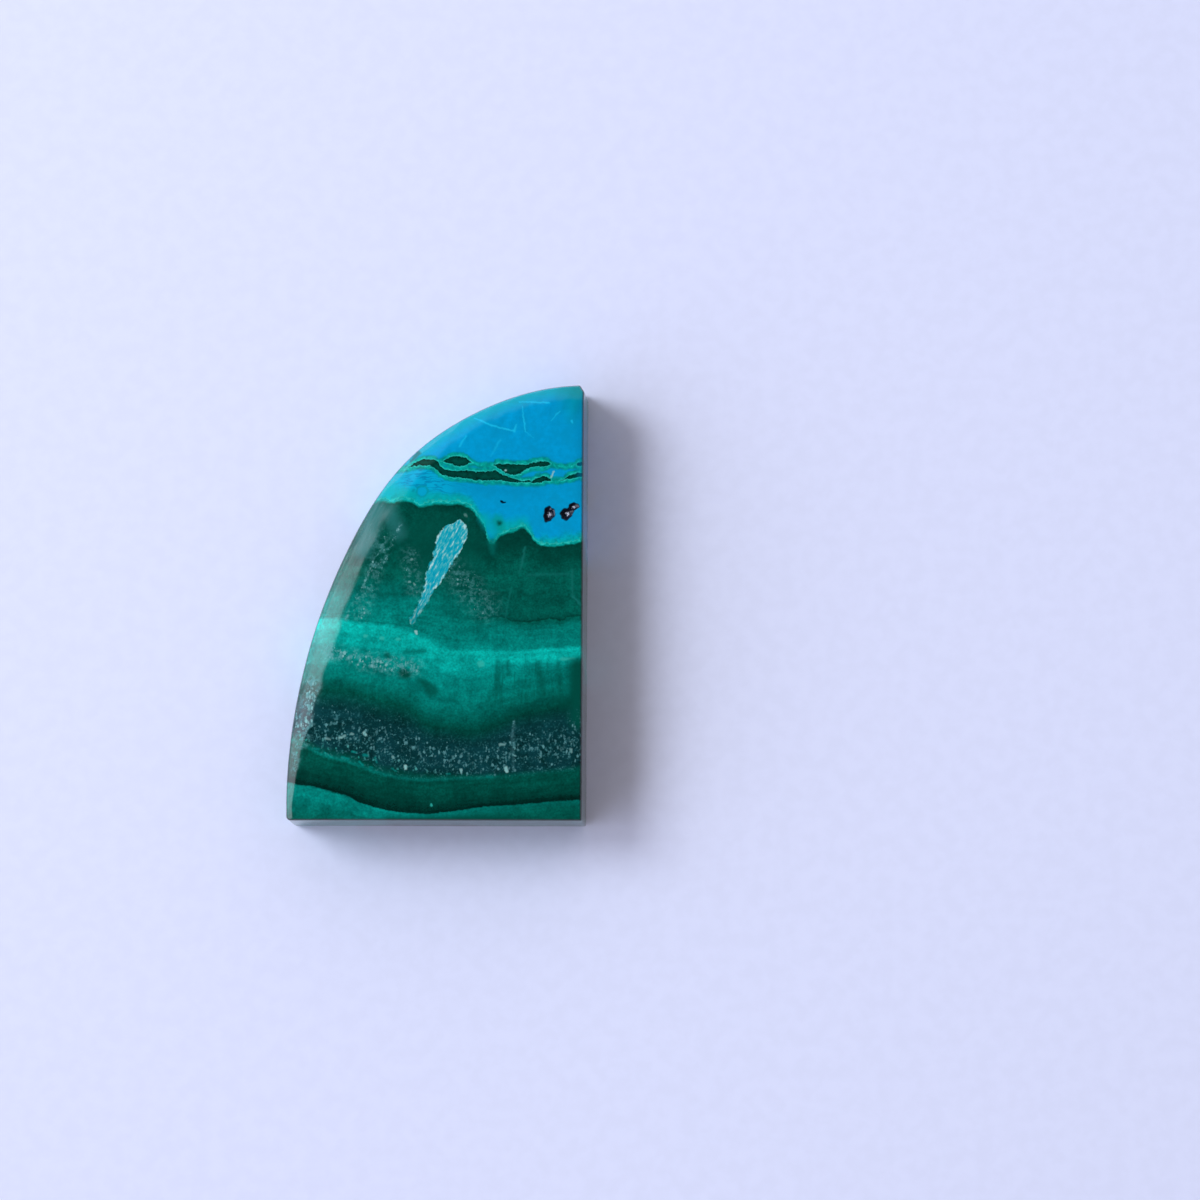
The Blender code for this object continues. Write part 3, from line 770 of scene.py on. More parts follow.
def stone_material(colours, finish):
    """Chrysocolla and malachite, cut, ground and polished to a gloss.

    Chrysocolla gives the even sky blue, and malachite the green bands whose fibres stand across them. The
    polish gives one clear reflection over all of it, and the ground back stays satin.
    """
    material = bpy.data.materials.new("polished chrysocolla and malachite")
    material.use_nodes = True
    tree = material.node_tree
    shader = tree.nodes["Principled BSDF"]
    body, body_parts, place = layer_places(tree)
    parts = add(tree, "ShaderNodeSeparateXYZ", {0: place}).node.outputs
    across = parts["X"]
    up = parts["Y"]

    # The bands: how far up the layers a point is, from the guide lines under and over it
    heights = []
    for points in (FOOT_LINE, SPECKLES_END, DARK_START, LIGHT_LINE, DARK_LINE, BLUE_EDGE, VEIN_MIDDLE):
        guide = add(tree, "ShaderNodeFloatCurve", {"Value": across})
        lay_guide(guide, points)
        heights.append(guide)
    layer = 0.0
    for under, over in zip([BEYOND_FOOT] + heights, heights + [BEYOND_TIP]):
        risen = add(tree, RANGE, {"Value": up, "From Min": under, "From Max": over}, **PLAIN)
        risen = add(tree, "ShaderNodeClamp", {"Value": risen})
        layer = add(tree, MATH, {0: layer, 1: risen}, operation="ADD")
    share = add(tree, MATH, {0: layer, 1: TOP_LAYER}, operation="DIVIDE")
    curved_side = add(tree, "ShaderNodeValToRGB", {"Fac": share})
    lay_stops(curved_side, CURVED_SIDE_LAYERS, TOP_LAYER)
    long_side = add(tree, "ShaderNodeValToRGB", {"Fac": share})
    lay_stops(long_side, LONG_SIDE_LAYERS, TOP_LAYER)
    side = add(tree, RANGE, {"Value": across, "From Min": -3.0, "From Max": 7.0}, **SOFT)
    colour = add(tree, MIX, {FACTOR: side, UNDER: curved_side, OVER: long_side}, MIXED, **COLOURS)

    # Malachite's finer bands follow the layers, and its fibres stand across them.
    green = add(tree, RANGE, {"Value": layer, "From Min": 6.0, "From Max": 5.99}, **SOFT)
    fine_place = add(tree, "ShaderNodeCombineXYZ", {
        "X": add(tree, MATH, {0: across, 1: 0.16}, operation="MULTIPLY"),
        "Y": add(tree, MATH, {0: layer, 1: 7.0}, operation="MULTIPLY"),
        "Z": 0.0,
    })
    banding = add(tree, NOISE, {"Vector": fine_place, "Scale": 1.0, "Detail": 3.0, "Roughness": 0.5})
    fibre_place = add(tree, VECTOR_MATH, {0: body, 1: FIBRES_PER_MM}, operation="MULTIPLY")
    fibres = add(tree, NOISE, {"Vector": fibre_place, "Scale": 1.0, "Detail": 3.0, "Roughness": 0.6})
    cloud = add(tree, NOISE, {"Vector": body, "Scale": CLOUDS_PER_MM, "Detail": 4.0, "Roughness": 0.55})
    mottle = add(tree, NOISE, {"Vector": body, "Scale": MOTTLES_PER_MM, "Detail": 3.0, "Roughness": 0.6})
    grain = add(tree, NOISE, {"Vector": body, "Scale": GRAINS_PER_MM, "Detail": 2.0})
    shade = 1.0
    for pattern, swing in ((banding, 0.16), (cloud, 0.22), (mottle, 0.18), (grain, 0.20)):
        change = add(tree, RANGE, {"Value": pattern, "From Min": 0.25, "From Max": 0.75,
                                   "To Min": 1 - swing, "To Max": 1 + swing}, **SOFT)
        shade = add(tree, MATH, {0: shade, 1: change}, operation="MULTIPLY")
    blue_shade = add(tree, RANGE, {"Value": mottle, "From Min": 0.3, "From Max": 0.7,
                                   "To Min": 0.92, "To Max": 1.05},
                     **SOFT)
    shade = add(tree, RANGE, {"Value": green, "To Min": blue_shade, "To Max": shade}, **PLAIN)
    colour = add(tree, "ShaderNodeHueSaturation", {"Value": shade, "Color": colour})

    # Under the light line, towards the long side, single fibres stand out dark.
    dark_fibres = add(tree, RANGE, {"Value": fibres, "From Min": 0.48, "From Max": 0.68,
                                    "To Max": 0.6}, **SOFT)
    for value, near, far in ((layer, 3.0, 3.3), (layer, 3.95, 3.75), (across, 1.0, 5.5)):
        here = add(tree, RANGE, {"Value": value, "From Min": near, "From Max": far}, **SOFT)
        dark_fibres = add(tree, MATH, {0: dark_fibres, 1: here}, operation="MULTIPLY")
    colour = add(tree, MIX, {FACTOR: dark_fibres, UNDER: colour, OVER: shade_of("dark green")},
                 MIXED, **COLOURS)

    # Chrysocolla's blue: slow clouds, and fine wavy bands near the curved side, under the vein
    blue = add(tree, MATH, {0: 1.0, 1: green}, operation="SUBTRACT")
    paler = add(tree, RANGE, {"Value": cloud, "From Min": 0.42, "From Max": 0.66, "To Max": 0.7}, **SOFT)
    paler = add(tree, MATH, {0: paler, 1: blue}, operation="MULTIPLY")
    colour = add(tree, MIX, {FACTOR: paler, UNDER: colour, OVER: shade_of("cloud blue")}, MIXED, **COLOURS)
    ripple_place = add(tree, "ShaderNodeCombineXYZ", {
        "X": add(tree, MATH, {0: across, 1: 0.5}, operation="MULTIPLY"),
        "Y": add(tree, MATH, {0: layer, 1: 9.0}, operation="MULTIPLY"),
        "Z": 0.0,
    })
    ripples = add(tree, NOISE, {"Vector": ripple_place, "Scale": 1.0, "Detail": 2.0})
    ripples = add(tree, MATH, {0: ripples, 1: 0.5}, operation="SUBTRACT")
    ripples = add(tree, MATH, {0: ripples}, operation="ABSOLUTE")
    ripples = add(tree, RANGE, {"Value": ripples, "From Min": 0.045, "From Max": 0.01,
                                "To Max": 0.8}, **SOFT)
    under_vein = add(tree, RANGE, {"Value": layer, "From Min": 7.0, "From Max": 6.97}, **SOFT)
    near_curve = add(tree, RANGE, {"Value": across, "From Min": 3.5, "From Max": -0.5,
                                   "To Min": 0.1}, **SOFT)
    near_curve = add(tree, MATH, {0: near_curve, 1: under_vein}, operation="MULTIPLY")
    near_curve = add(tree, MATH, {0: near_curve, 1: blue}, operation="MULTIPLY")
    colour = add(tree, MIX, {FACTOR: near_curve, UNDER: colour, OVER: shade_of("light blue")},
                 MIXED, **COLOURS)
    ripples = add(tree, MATH, {0: ripples, 1: near_curve}, operation="MULTIPLY")
    colour = add(tree, MIX, {FACTOR: ripples, UNDER: colour, OVER: shade_of("deep blue")}, MIXED, **COLOURS)
    from_edge = add(tree, "ShaderNodeAttribute", output="Fac", attribute_name="from_edge")
    thin_blue = add(tree, RANGE, {"Value": from_edge, "From Min": 1.3, "From Max": 0.1,
                                  "To Max": 0.85}, **SOFT)
    thin_blue = add(tree, MATH, {0: thin_blue, 1: blue}, operation="MULTIPLY")
    colour = add(tree, MIX, {FACTOR: thin_blue, UNDER: colour, OVER: shade_of("thin blue")},
                 MIXED, **COLOURS)

    # The blue ends over the green in an aqua rim of uneven width.
    over_edge = add(tree, MATH, {0: up, 1: heights[5]}, operation="SUBTRACT")
    rim_width = add(tree, RANGE, {"Value": cloud, "From Min": 0.3, "From Max": 0.7,
                                  "To Min": 0.35, "To Max": 1.3}, **SOFT)
    rim = add(tree, RANGE, {"Value": over_edge, "From Min": rim_width, "From Max": 0.12}, **SOFT)
    rim = add(tree, MATH, {0: rim, 1: blue}, operation="MULTIPLY")
    rim_place = add(tree, MATH, {0: mottle, 1: 0.8, 2: -0.4}, operation="MULTIPLY_ADD")
    rim_place = add(tree, MATH, {0: rim_place, 1: over_edge}, operation="ADD")
    rim_colour = add(tree, "ShaderNodeValToRGB", {"Fac": rim_place})
    lay_stops(rim_colour, RIM_DEPTHS)
    edge_shade = add(tree, RANGE, {"Value": mottle, "From Min": 0.35, "From Max": 0.62,
                                   "To Min": 0.72, "To Max": 1.08},
                   **SOFT)
    rim_colour = add(tree, "ShaderNodeHueSaturation", {"Value": edge_shade, "Color": rim_colour})
    colour = add(tree, MIX, {FACTOR: rim, UNDER: colour, OVER: rim_colour}, MIXED, **COLOURS)

    # The vein: a bright rim, near-black edges and a dark green heart, by the depth inside its lenses
    inside = FAR_OUTSIDE_VEIN
    for upper, lower in (LONG_LENS, UPPER_LENS):
        top = add(tree, "ShaderNodeFloatCurve", {"Value": across})
        lay_guide(top, upper)
        bottom = add(tree, "ShaderNodeFloatCurve", {"Value": across})
        lay_guide(bottom, lower)
        under_top = add(tree, MATH, {0: top, 1: up}, operation="SUBTRACT")
        over_bottom = add(tree, MATH, {0: up, 1: bottom}, operation="SUBTRACT")
        within = add(tree, MATH, {0: under_top, 1: over_bottom}, operation="MINIMUM")
        inside = add(tree, MATH, {0: inside, 1: within}, operation="MAXIMUM")
    inside = add(tree, MATH, {0: mottle, 1: 0.30, 2: inside}, operation="MULTIPLY_ADD")
    inside = add(tree, MATH, {0: grain, 1: 0.10, 2: inside}, operation="MULTIPLY_ADD")
    inside = add(tree, MATH, {0: inside, 1: 0.20}, operation="SUBTRACT")
    vein_share = add(tree, RANGE, {"Value": inside, "From Min": VEIN_REACH[0],
                                   "From Max": VEIN_REACH[1]}, **PLAIN)
    vein_colour = add(tree, "ShaderNodeValToRGB", {"Fac": vein_share})
    lay_stops(vein_colour, VEIN_DEPTHS)
    vein_colour = add(tree, "ShaderNodeHueSaturation", {"Value": edge_shade, "Color": vein_colour})
    vein_mask = add(tree, RANGE, {"Value": inside, "From Min": -0.42, "From Max": -0.22}, **SOFT)
    colour = add(tree, MIX, {FACTOR: vein_mask, UNDER: colour, OVER: vein_colour}, MIXED, **COLOURS)

    # Small marks, one family over the other
    stroke = stroke_group()
    for _, mark_colour, strokes in MARKS:
        covered = strokes_cover(tree, stroke, place, strokes)
        colour = add(tree, MIX, {FACTOR: covered, UNDER: colour, OVER: shade_of(mark_colour)},
                     MIXED, **COLOURS)

    # Frost: a soft haze in patches, under the crystals
    frost = strokes_cover(tree, stroke, place, FROST_PATCHES)
    haze = add(tree, RANGE, {"Value": mottle, "From Min": 0.42, "From Max": 0.64, "To Max": 0.54}, **SOFT)
    haze = add(tree, MATH, {0: haze, 1: frost}, operation="MULTIPLY")
    colour = add(tree, MIX, {FACTOR: haze, UNDER: colour, OVER: tuple(colours.frost)}, MIXED, **COLOURS)

    # The speckled band: bluer patches, and pale crystals about 0.2 mm across, thickest in its lower half
    band = add(tree, "ShaderNodeValToRGB", {"Fac": share})
    lay_stops(band, SPECKLED_BAND, TOP_LAYER)
    bluer = add(tree, RANGE, {"Value": cloud, "From Min": 0.42, "From Max": 0.62, "To Max": 0.35}, **SOFT)
    bluer = add(tree, MATH, {0: bluer, 1: band}, operation="MULTIPLY")
    colour = add(tree, MIX, {FACTOR: bluer, UNDER: colour, OVER: shade_of("slate blue")}, MIXED, **COLOURS)
    crystal_place = add(tree, VECTOR_MATH, {0: body, 1: CRYSTALS_PER_MM}, operation="MULTIPLY")
    crystals = add(tree, "ShaderNodeTexVoronoi", {"Vector": crystal_place, "Scale": 1.0}).node.outputs
    chance = add(tree, "ShaderNodeSeparateColor", {0: crystals["Color"]}).node.outputs
    size = add(tree, RANGE, {"Value": chance["Red"], "From Min": 0.02, "From Max": 0.95,
                             "To Max": 0.82}, **SOFT)
    patchy = add(tree, RANGE, {"Value": mottle, "From Min": 0.40, "From Max": 0.56,
                               "To Min": 0.45, "To Max": 1.1}, **SOFT)
    dense = add(tree, MATH, {0: band, 1: frost}, operation="MAXIMUM")
    dense = add(tree, MATH, {0: dense, 1: patchy}, operation="MULTIPLY")
    dim = add(tree, RANGE, {"Value": grain, "From Min": 0.49, "From Max": 0.60, "To Max": 0.42}, **SOFT)
    in_patches = add(tree, RANGE, {"Value": mottle, "From Min": 0.47, "From Max": 0.60}, **SOFT)
    dim = add(tree, MATH, {0: dim, 1: in_patches}, operation="MULTIPLY")
    dim = add(tree, MATH, {0: dim, 1: dense}, operation="MULTIPLY")
    colour = add(tree, MIX, {FACTOR: dim, UNDER: colour, OVER: tuple(colours.frost)}, MIXED, **COLOURS)
    size = add(tree, MATH, {0: size, 1: dense}, operation="MULTIPLY")
    core = add(tree, MATH, {0: size, 1: 0.35}, operation="MULTIPLY")
    speck = add(tree, RANGE, {"Value": crystals["Distance"], "From Min": size, "From Max": core}, **SOFT)
    speck_strength = add(tree, RANGE, {"Value": chance["Green"], "To Min": 0.08, "To Max": 0.85}, **PLAIN)
    speck = add(tree, MATH, {0: speck, 1: speck_strength}, operation="MULTIPLY")
    paler = add(tree, MIX, {FACTOR: frost, UNDER: tuple(colours.crystals), OVER: shade_of("frost crystal")},
                MIXED, **COLOURS)
    greener = add(tree, RANGE, {"Value": layer, "From Min": 2.3, "From Max": 2.05, "To Max": 0.9}, **SOFT)
    curved = add(tree, RANGE, {"Value": across, "From Min": 4.0, "From Max": -4.0}, **SOFT)
    greener = add(tree, MATH, {0: greener, 1: curved}, operation="MULTIPLY")
    crystal = add(tree, MIX, {FACTOR: greener, UNDER: paler, OVER: shade_of("green crystal")},
                  MIXED, **COLOURS)
    colour = add(tree, MIX, {FACTOR: speck, UNDER: colour, OVER: crystal}, MIXED, **COLOURS)

    # The pale streak: a ragged wedge with a cyan heart and whiter, sparkling edges
    edges = []
    for points in STREAK:
        guide = add(tree, "ShaderNodeFloatCurve", {"Value": up})
        lay_guide(guide, points)
        edges.append(guide)
    from_left = add(tree, MATH, {0: across, 1: edges[0]}, operation="SUBTRACT")
    from_right = add(tree, MATH, {0: edges[1], 1: across}, operation="SUBTRACT")
    within = add(tree, MATH, {0: from_left, 1: from_right}, operation="MINIMUM")
    ragged = add(tree, MATH, {0: cloud, 1: 1.6, 2: mottle}, operation="MULTIPLY_ADD")
    ragged = add(tree, MATH, {0: ragged, 1: 0.36, 2: -0.47}, operation="MULTIPLY_ADD")
    within = add(tree, MATH, {0: within, 1: ragged}, operation="ADD")
    streak_mask = add(tree, RANGE, {"Value": within, "From Min": -0.05, "From Max": 0.10}, **SOFT)
    fading = add(tree, RANGE, {"Value": up, "From Min": -1.8, "From Max": 1.0, "To Min": 0.4}, **SOFT)
    streak_mask = add(tree, MATH, {0: streak_mask, 1: fading}, operation="MULTIPLY")
    brushed = add(tree, VECTOR_MATH, {0: body, 1: STREAK_GRAIN[0]}, "Value", operation="DOT_PRODUCT")
    along = add(tree, VECTOR_MATH, {0: body, 1: STREAK_GRAIN[1]}, "Value", operation="DOT_PRODUCT")
    brushed = add(tree, NOISE, {"Vector": add(tree, "ShaderNodeCombineXYZ", {"X": brushed, "Y": along}),
                                "Scale": 1.0, "Detail": 2.0})
    heart = add(tree, RANGE, {"Value": within, "From Min": 0.34, "From Max": 0.05,
                              "To Min": -0.05, "To Max": 0.05},
                **SOFT)
    crown = add(tree, RANGE, {"Value": up, "From Min": 3.4, "From Max": 5.2, "To Max": 0.03}, **SOFT)
    whiter = add(tree, MATH, {0: brushed, 1: heart}, operation="ADD")
    whiter = add(tree, MATH, {0: whiter, 1: crown}, operation="ADD")
    streak_colour = add(tree, "ShaderNodeValToRGB", {"Fac": whiter})
    lay_stops(streak_colour, STREAK_WHITENESS)
    colour = add(tree, MIX, {FACTOR: streak_mask, UNDER: colour, OVER: streak_colour}, MIXED, **COLOURS)

    # The pits: near-black rims, and pale crystals at the bottom
    nearness = add(tree, "ShaderNodeAttribute", output="Fac", attribute_name="pit")
    rim_mask = add(tree, RANGE, {"Value": nearness, "From Min": 1.30, "From Max": 1.02}, **SOFT)
    colour = add(tree, MIX, {FACTOR: rim_mask, UNDER: colour, OVER: shade_of("pit rim")}, MIXED, **COLOURS)
    bottom_mask = add(tree, RANGE, {"Value": nearness, "From Min": 0.52, "From Max": 0.22}, **SOFT)
    druse = add(tree, RANGE, {"Value": grain, "From Min": 0.42, "From Max": 0.56}, **SOFT)
    bottom_mask = add(tree, MATH, {0: bottom_mask, 1: druse}, operation="MULTIPLY")
    colour = add(tree, MIX, {FACTOR: bottom_mask, UNDER: colour, OVER: shade_of("pit crystal")},
                 MIXED, **COLOURS)

    # Painted shade: the sharp lip round the face lets no light back, and is darkened to a thin dark line.
    painted_lip_shade = add(tree, "ShaderNodeAttribute", output="Fac", attribute_name="painted_lip_shade")
    lip_value = add(tree, MATH, {0: painted_lip_shade, 1: -0.82, 2: 1.0}, operation="MULTIPLY_ADD")
    colour = add(tree, "ShaderNodeHueSaturation", {"Value": lip_value, "Color": colour})

    # The ground back is a little dusty, and its satin scatters what the polish would mirror.
    back = add(tree, RANGE, {"Value": body_parts["Z"], "From Min": 0.06, "From Max": 0.01}, **SOFT)
    dust = add(tree, MATH, {0: back, 1: 0.16}, operation="MULTIPLY")
    colour = add(tree, MIX, {FACTOR: dust, UNDER: colour, OVER: shade_of("dust")}, MIXED, **COLOURS)
    rough = add(tree, RANGE, {"Value": cloud, "From Min": 0.3, "From Max": 0.7,
                              "To Min": finish.polish - 0.03,
                              "To Max": finish.polish + 0.03}, **SOFT)
    rough = add(tree, RANGE, {"Value": back, "To Min": rough, "To Max": finish.back_satin}, **PLAIN)
    in_pit = add(tree, RANGE, {"Value": nearness, "From Min": 1.05, "From Max": 0.95}, **SOFT)
    rough = add(tree, RANGE, {"Value": in_pit, "To Min": rough, "To Max": 0.22}, **PLAIN)
    grinding_place = add(tree, "ShaderNodeCombineXYZ", {
        "X": add(tree, MATH, {0: from_edge, 1: 5.0}, operation="MULTIPLY"),
        "Y": add(tree, MATH, {0: up, 1: 0.6}, operation="MULTIPLY"),
        "Z": 0.0,
    })
    grinding = add(tree, NOISE, {"Vector": grinding_place, "Scale": 1.0, "Detail": 1.0})
    grinding = add(tree, RANGE, {"Value": grinding, "From Min": 0.38, "From Max": 0.62, "To Min": 0.02,
                                 "To Max": 0.18}, **SOFT)
    grinding = add(tree, MATH, {0: grinding, 1: green}, operation="MULTIPLY")
    shoulder = add(tree, RANGE, {"Value": from_edge, "From Min": 2.2, "From Max": 0.9}, **SOFT)
    over_foot = add(tree, RANGE, {"Value": up, "From Min": -14.0, "From Max": -7.0, "To Min": 0.1}, **SOFT)
    shoulder = add(tree, MATH, {0: shoulder, 1: over_foot}, operation="MULTIPLY")
    worn = add(tree, MATH, {0: grinding, 1: shoulder, 2: rough}, operation="MULTIPLY_ADD")
    worn = add(tree, MATH, {0: haze, 1: 0.6, 2: worn}, operation="MULTIPLY_ADD")
    relief = add(tree, MATH, {0: speck, 1: streak_mask}, operation="ADD")
    bump = add(tree, "ShaderNodeBump", {"Strength": 0.25, "Distance": 0.01 * MM, "Height": relief}, "Normal",
               invert=True)
    tree.links.new(colour, shader.inputs["Base Color"])
    tree.links.new(worn, shader.inputs["Roughness"])
    tree.links.new(bump, shader.inputs["Normal"])
    shader.inputs["IOR"].default_value = 1.57
    shader.inputs["Metallic"].default_value = 0.0
    return material


def paper_material(colours):
    """Smooth white paper under cool daylight: an even, matt surface with the faintest grain."""
    material = bpy.data.materials.new("matt paper")
    material.use_nodes = True
    tree = material.node_tree
    shader = tree.nodes["Principled BSDF"]
    place = add(tree, "ShaderNodeTexCoord", output="Object")
    fibres = add(tree, NOISE, {"Vector": place, "Scale": 900.0, "Detail": 3.0})
    shade = add(tree, RANGE, {"Value": fibres, "From Min": 0.3, "From Max": 0.7,
                              "To Min": 0.985, "To Max": 1.015}, **SOFT)
    colour = add(tree, VECTOR_MATH, {0: tuple(colours.paper)[:3], SCALE: shade}, operation="SCALE")
    tree.links.new(colour, shader.inputs["Base Color"])
    shader.inputs["Roughness"].default_value = 0.9
    shader.inputs["Specular IOR Level"].default_value = 0.2
    return material


class StoneColours(bpy.types.PropertyGroup):
    """The colours that a user would change."""

    crystals: FloatVectorProperty(
        name="Crystals", description="The pale crystals in the speckled band", subtype="COLOR", size=4,
        min=0.0, max=1.0, default=linear("5a969a"),
    )
    frost: FloatVectorProperty(
        name="Frost", description="The pale mottle near the curved side", subtype="COLOR", size=4,
        min=0.0, max=1.0, default=linear("4d9296"),
    )
    paper: FloatVectorProperty(
        name="Paper", description="The paper that the stone lies on", subtype="COLOR", size=4,
        min=0.0, max=1.0, default=linear("dae3fe"),
    )


class StoneFinish(bpy.types.PropertyGroup):
    """The finish of the stone's faces."""

    polish: FloatProperty(
        name="Polish", description="Roughness of the polished faces", subtype="FACTOR", min=0.03, max=1.0,
        default=0.09,
    )
    back_satin: FloatProperty(
        name="Back", description="Roughness of the ground back", subtype="FACTOR", min=0.0, max=1.0,
        default=0.45,
    )
    waves: FloatProperty(
        name="Polish waves", description="Height of the slow waves that hand polishing leaves", unit="LENGTH",
        min=0.0, default=0.012 * MM, precision=6,
    )
    shoulder_waves: FloatProperty(
        name="Shoulder waves", description="Height of the uneven grinding on the rounded shoulder",
        unit="LENGTH", min=0.0, default=0.06 * MM, precision=6,
    )
    wall_waves: FloatProperty(
        name="Wall waves", description="Depth of the facets that grinding leaves on the walls", unit="LENGTH",
        min=0.0, default=0.015 * MM, precision=6,
    )
    wave_seed: IntProperty(
        name="Wave seed", description="Changes how the waves of the polish and the shoulder lie", default=4,
        min=0,
    )
    crystal_seed: IntProperty(
        name="Crystal seed", description="Changes how the crystals lie in the pits", default=7, min=0
    )


class STONE_OT_build_cabochon(bpy.types.Operator):
    """Build the polished stone and lay its bands, vein and marks over it"""

    bl_idname = "stone.build_cabochon"
    bl_label = "Build the cabochon"

    def execute(self, context):
        colours = context.scene.stone_colours
        finish = context.scene.stone_finish
        rings = self.rings(finish)
        count = len(rings[0][0])
        shape = bmesh.new()
        pit = shape.verts.layers.float.new("pit")
        from_edge = shape.verts.layers.float.new("from_edge")
        painted_lip_shade = shape.verts.layers.float.new("painted_lip_shade")
        levels = []
        for points, heights, nearness, lip_share in rings:
            level = []
            inset = distance_to_curve(points) / MM
            for place, near, inwards in zip(in_frame(points, heights), nearness, inset):
                corner = shape.verts.new(place)
                corner[pit] = near
                corner[from_edge] = inwards
                corner[painted_lip_shade] = lip_share
                level.append(corner)
            levels.append(level)
        for lower, upper in zip(levels, levels[1:]):
            for place in range(count):
                after = (place + 1) % count
                shape.faces.new((lower[place], lower[after], upper[after], upper[place]))
        for level in (levels[0], levels[-1]):
            middle = shape.verts.new(sum((corner.co for corner in level), Vector()) / count)
            middle[pit] = FAR_FROM_PITS
            middle[from_edge] = FAR_FROM_PITS
            for place in range(count):
                shape.faces.new((level[place], level[(place + 1) % count], middle))
        bmesh.ops.recalc_face_normals(shape, faces=shape.faces)
        mesh = bpy.data.meshes.new("cabochon")
        shape.to_mesh(mesh)
        shape.free()
        mesh.shade_smooth()
        mesh.materials.append(stone_material(colours, finish))
        stone = bpy.data.objects.new("cabochon", mesh)
        context.scene.collection.objects.link(stone)
        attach(stone, "root")
        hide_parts("polished_stone")
        return {"FINISHED"}

    def rings(self, finish):
        """The rings of points from the middle of the back, up the walls and over the face to its middle."""
        girdle = outline(0.0)
        rings = []
        deepest = outline(BACK_INSETS[0] * MM)
        for shrink in reversed(CENTRE_SHRINKS):
            rings.append((deepest.mean(axis=0) + (deepest - deepest.mean(axis=0)) * shrink, 0.0))
        rings += [(outline(inset * MM), 0.0) for inset in BACK_INSETS]
        for step in range(BEVEL_STEPS):
            flat = step / BEVEL_STEPS
            turn = flat * pi / 2
            # Half way between a plain bevel and a quarter round
            inset = BACK_BEVEL * (1 - (flat + sin(turn)) / 2)
            rings.append((outline(inset), BACK_BEVEL * (flat + 1 - cos(turn)) / 2))
        face_edge = outline(FACE_INSET)
        edge_heights = face_heights(face_edge)
        middle = girdle.mean(axis=0)
        for step in range(WALL_STEPS):
            share = step / WALL_STEPS
            points = girdle + (face_edge - girdle) * share
            heights = BACK_BEVEL + (edge_heights - BACK_BEVEL) * share
            around = np.arctan2(*(points - middle).T)
            waves = [np.sin(facets * around + twist * share) for facets, twist in WALL_FACETS]
            inwards = (middle - points) / np.linalg.norm(middle - points, axis=1)[:, None]
            depth = finish.wall_waves * sin(pi * share)
            uneven_depth = depth * (2 + waves[0] + waves[1]) / 4
            rings.append((points + inwards * uneven_depth[:, None], heights))
        far = np.full(len(girdle), FAR_FROM_PITS)
        whole = [(points, np.broadcast_to(heights, len(girdle)), far, 0.0) for points, heights in rings]
        face = [outline(FACE_INSET + inset * MM) for inset in (*EDGE_INSETS, *CLOSE_INSETS, *WIDE_INSETS)]
        middle = face[-1].mean(axis=0)
        face += [middle + (face[-1] - middle) * shrink for shrink in CENTRE_SHRINKS]
        # The first face rings carry the painted shade of the lip
        lips = (*EDGE_LIP_SHADES, *(0.0 for _ in face[len(EDGE_LIP_SHADES):]))
        for points, lip_share in zip(face, lips):
            pits, nearness = pit_shapes(points, finish.crystal_seed)
            heights = face_heights(points) - pits
            heights -= finish.waves * uneven(points, POLISH_WAVES, finish.wave_seed)
            heights -= finish.shoulder_waves * shoulder_only(points) * uneven(
                points, SHOULDER_WAVES, finish.wave_seed
            )
            whole.append((points, heights, nearness, lip_share))
        return whole


# The camera over the stone, fitted to its outline
CAMERA_PLACE = (20.116 * MM, -28.688 * MM, 229.202 * MM)
CAMERA_TILTS = (radians(7.2876), radians(2.2545), radians(-0.0121))
CAMERA_LENS = 100.0
CAMERA_SENSOR = 36.0
CAMERA_SIGHT = (0.01, 10.0)
PAPER_SIZE = 3.0
# The window stands to the left. It begins this far from overhead, and ends where it turns to the narrow end.
WINDOW_REACH = (0.50, 0.64)
WINDOW_END = (0.62, 1.0, 0.0)
WINDOW_END_REACH = (0.10, -0.06)
WINDOW_LIGHT = (2.3, 2.35, 2.75)
ROOM_LIGHT = (1.0, 0.34)
# The room is brightest at its upper left, and shades off between these two places along that way.
UPPER_LEFT = (-0.6, 0.8, 0.0)
ROOM_REACH = (-0.8, 0.8)
ROOM_TINT = (1.08, 0.96, 0.95)
# The dark overhead: which way it lies, its light, and from where to where it ends
OVERHEAD = (-0.10, 0.13, 0.986)
OVERHEAD_SHADE = 0.03
OVERHEAD_REACH = (0.93, 0.75)
# Behind the window's glare the room mirrors faintly in the polish: this share of its light.
ROOM_IN_POLISH = 0.2
BACKDROP = (0.74, 0.80, 0.96)
# The daylight that falls through the window, from the left and a little from the narrow end's side
DAYLIGHT_PLACE = (-0.34, 0.151, 0.335)
DAYLIGHT_SIZE = 0.25
DAYLIGHT_POWER = 1.3


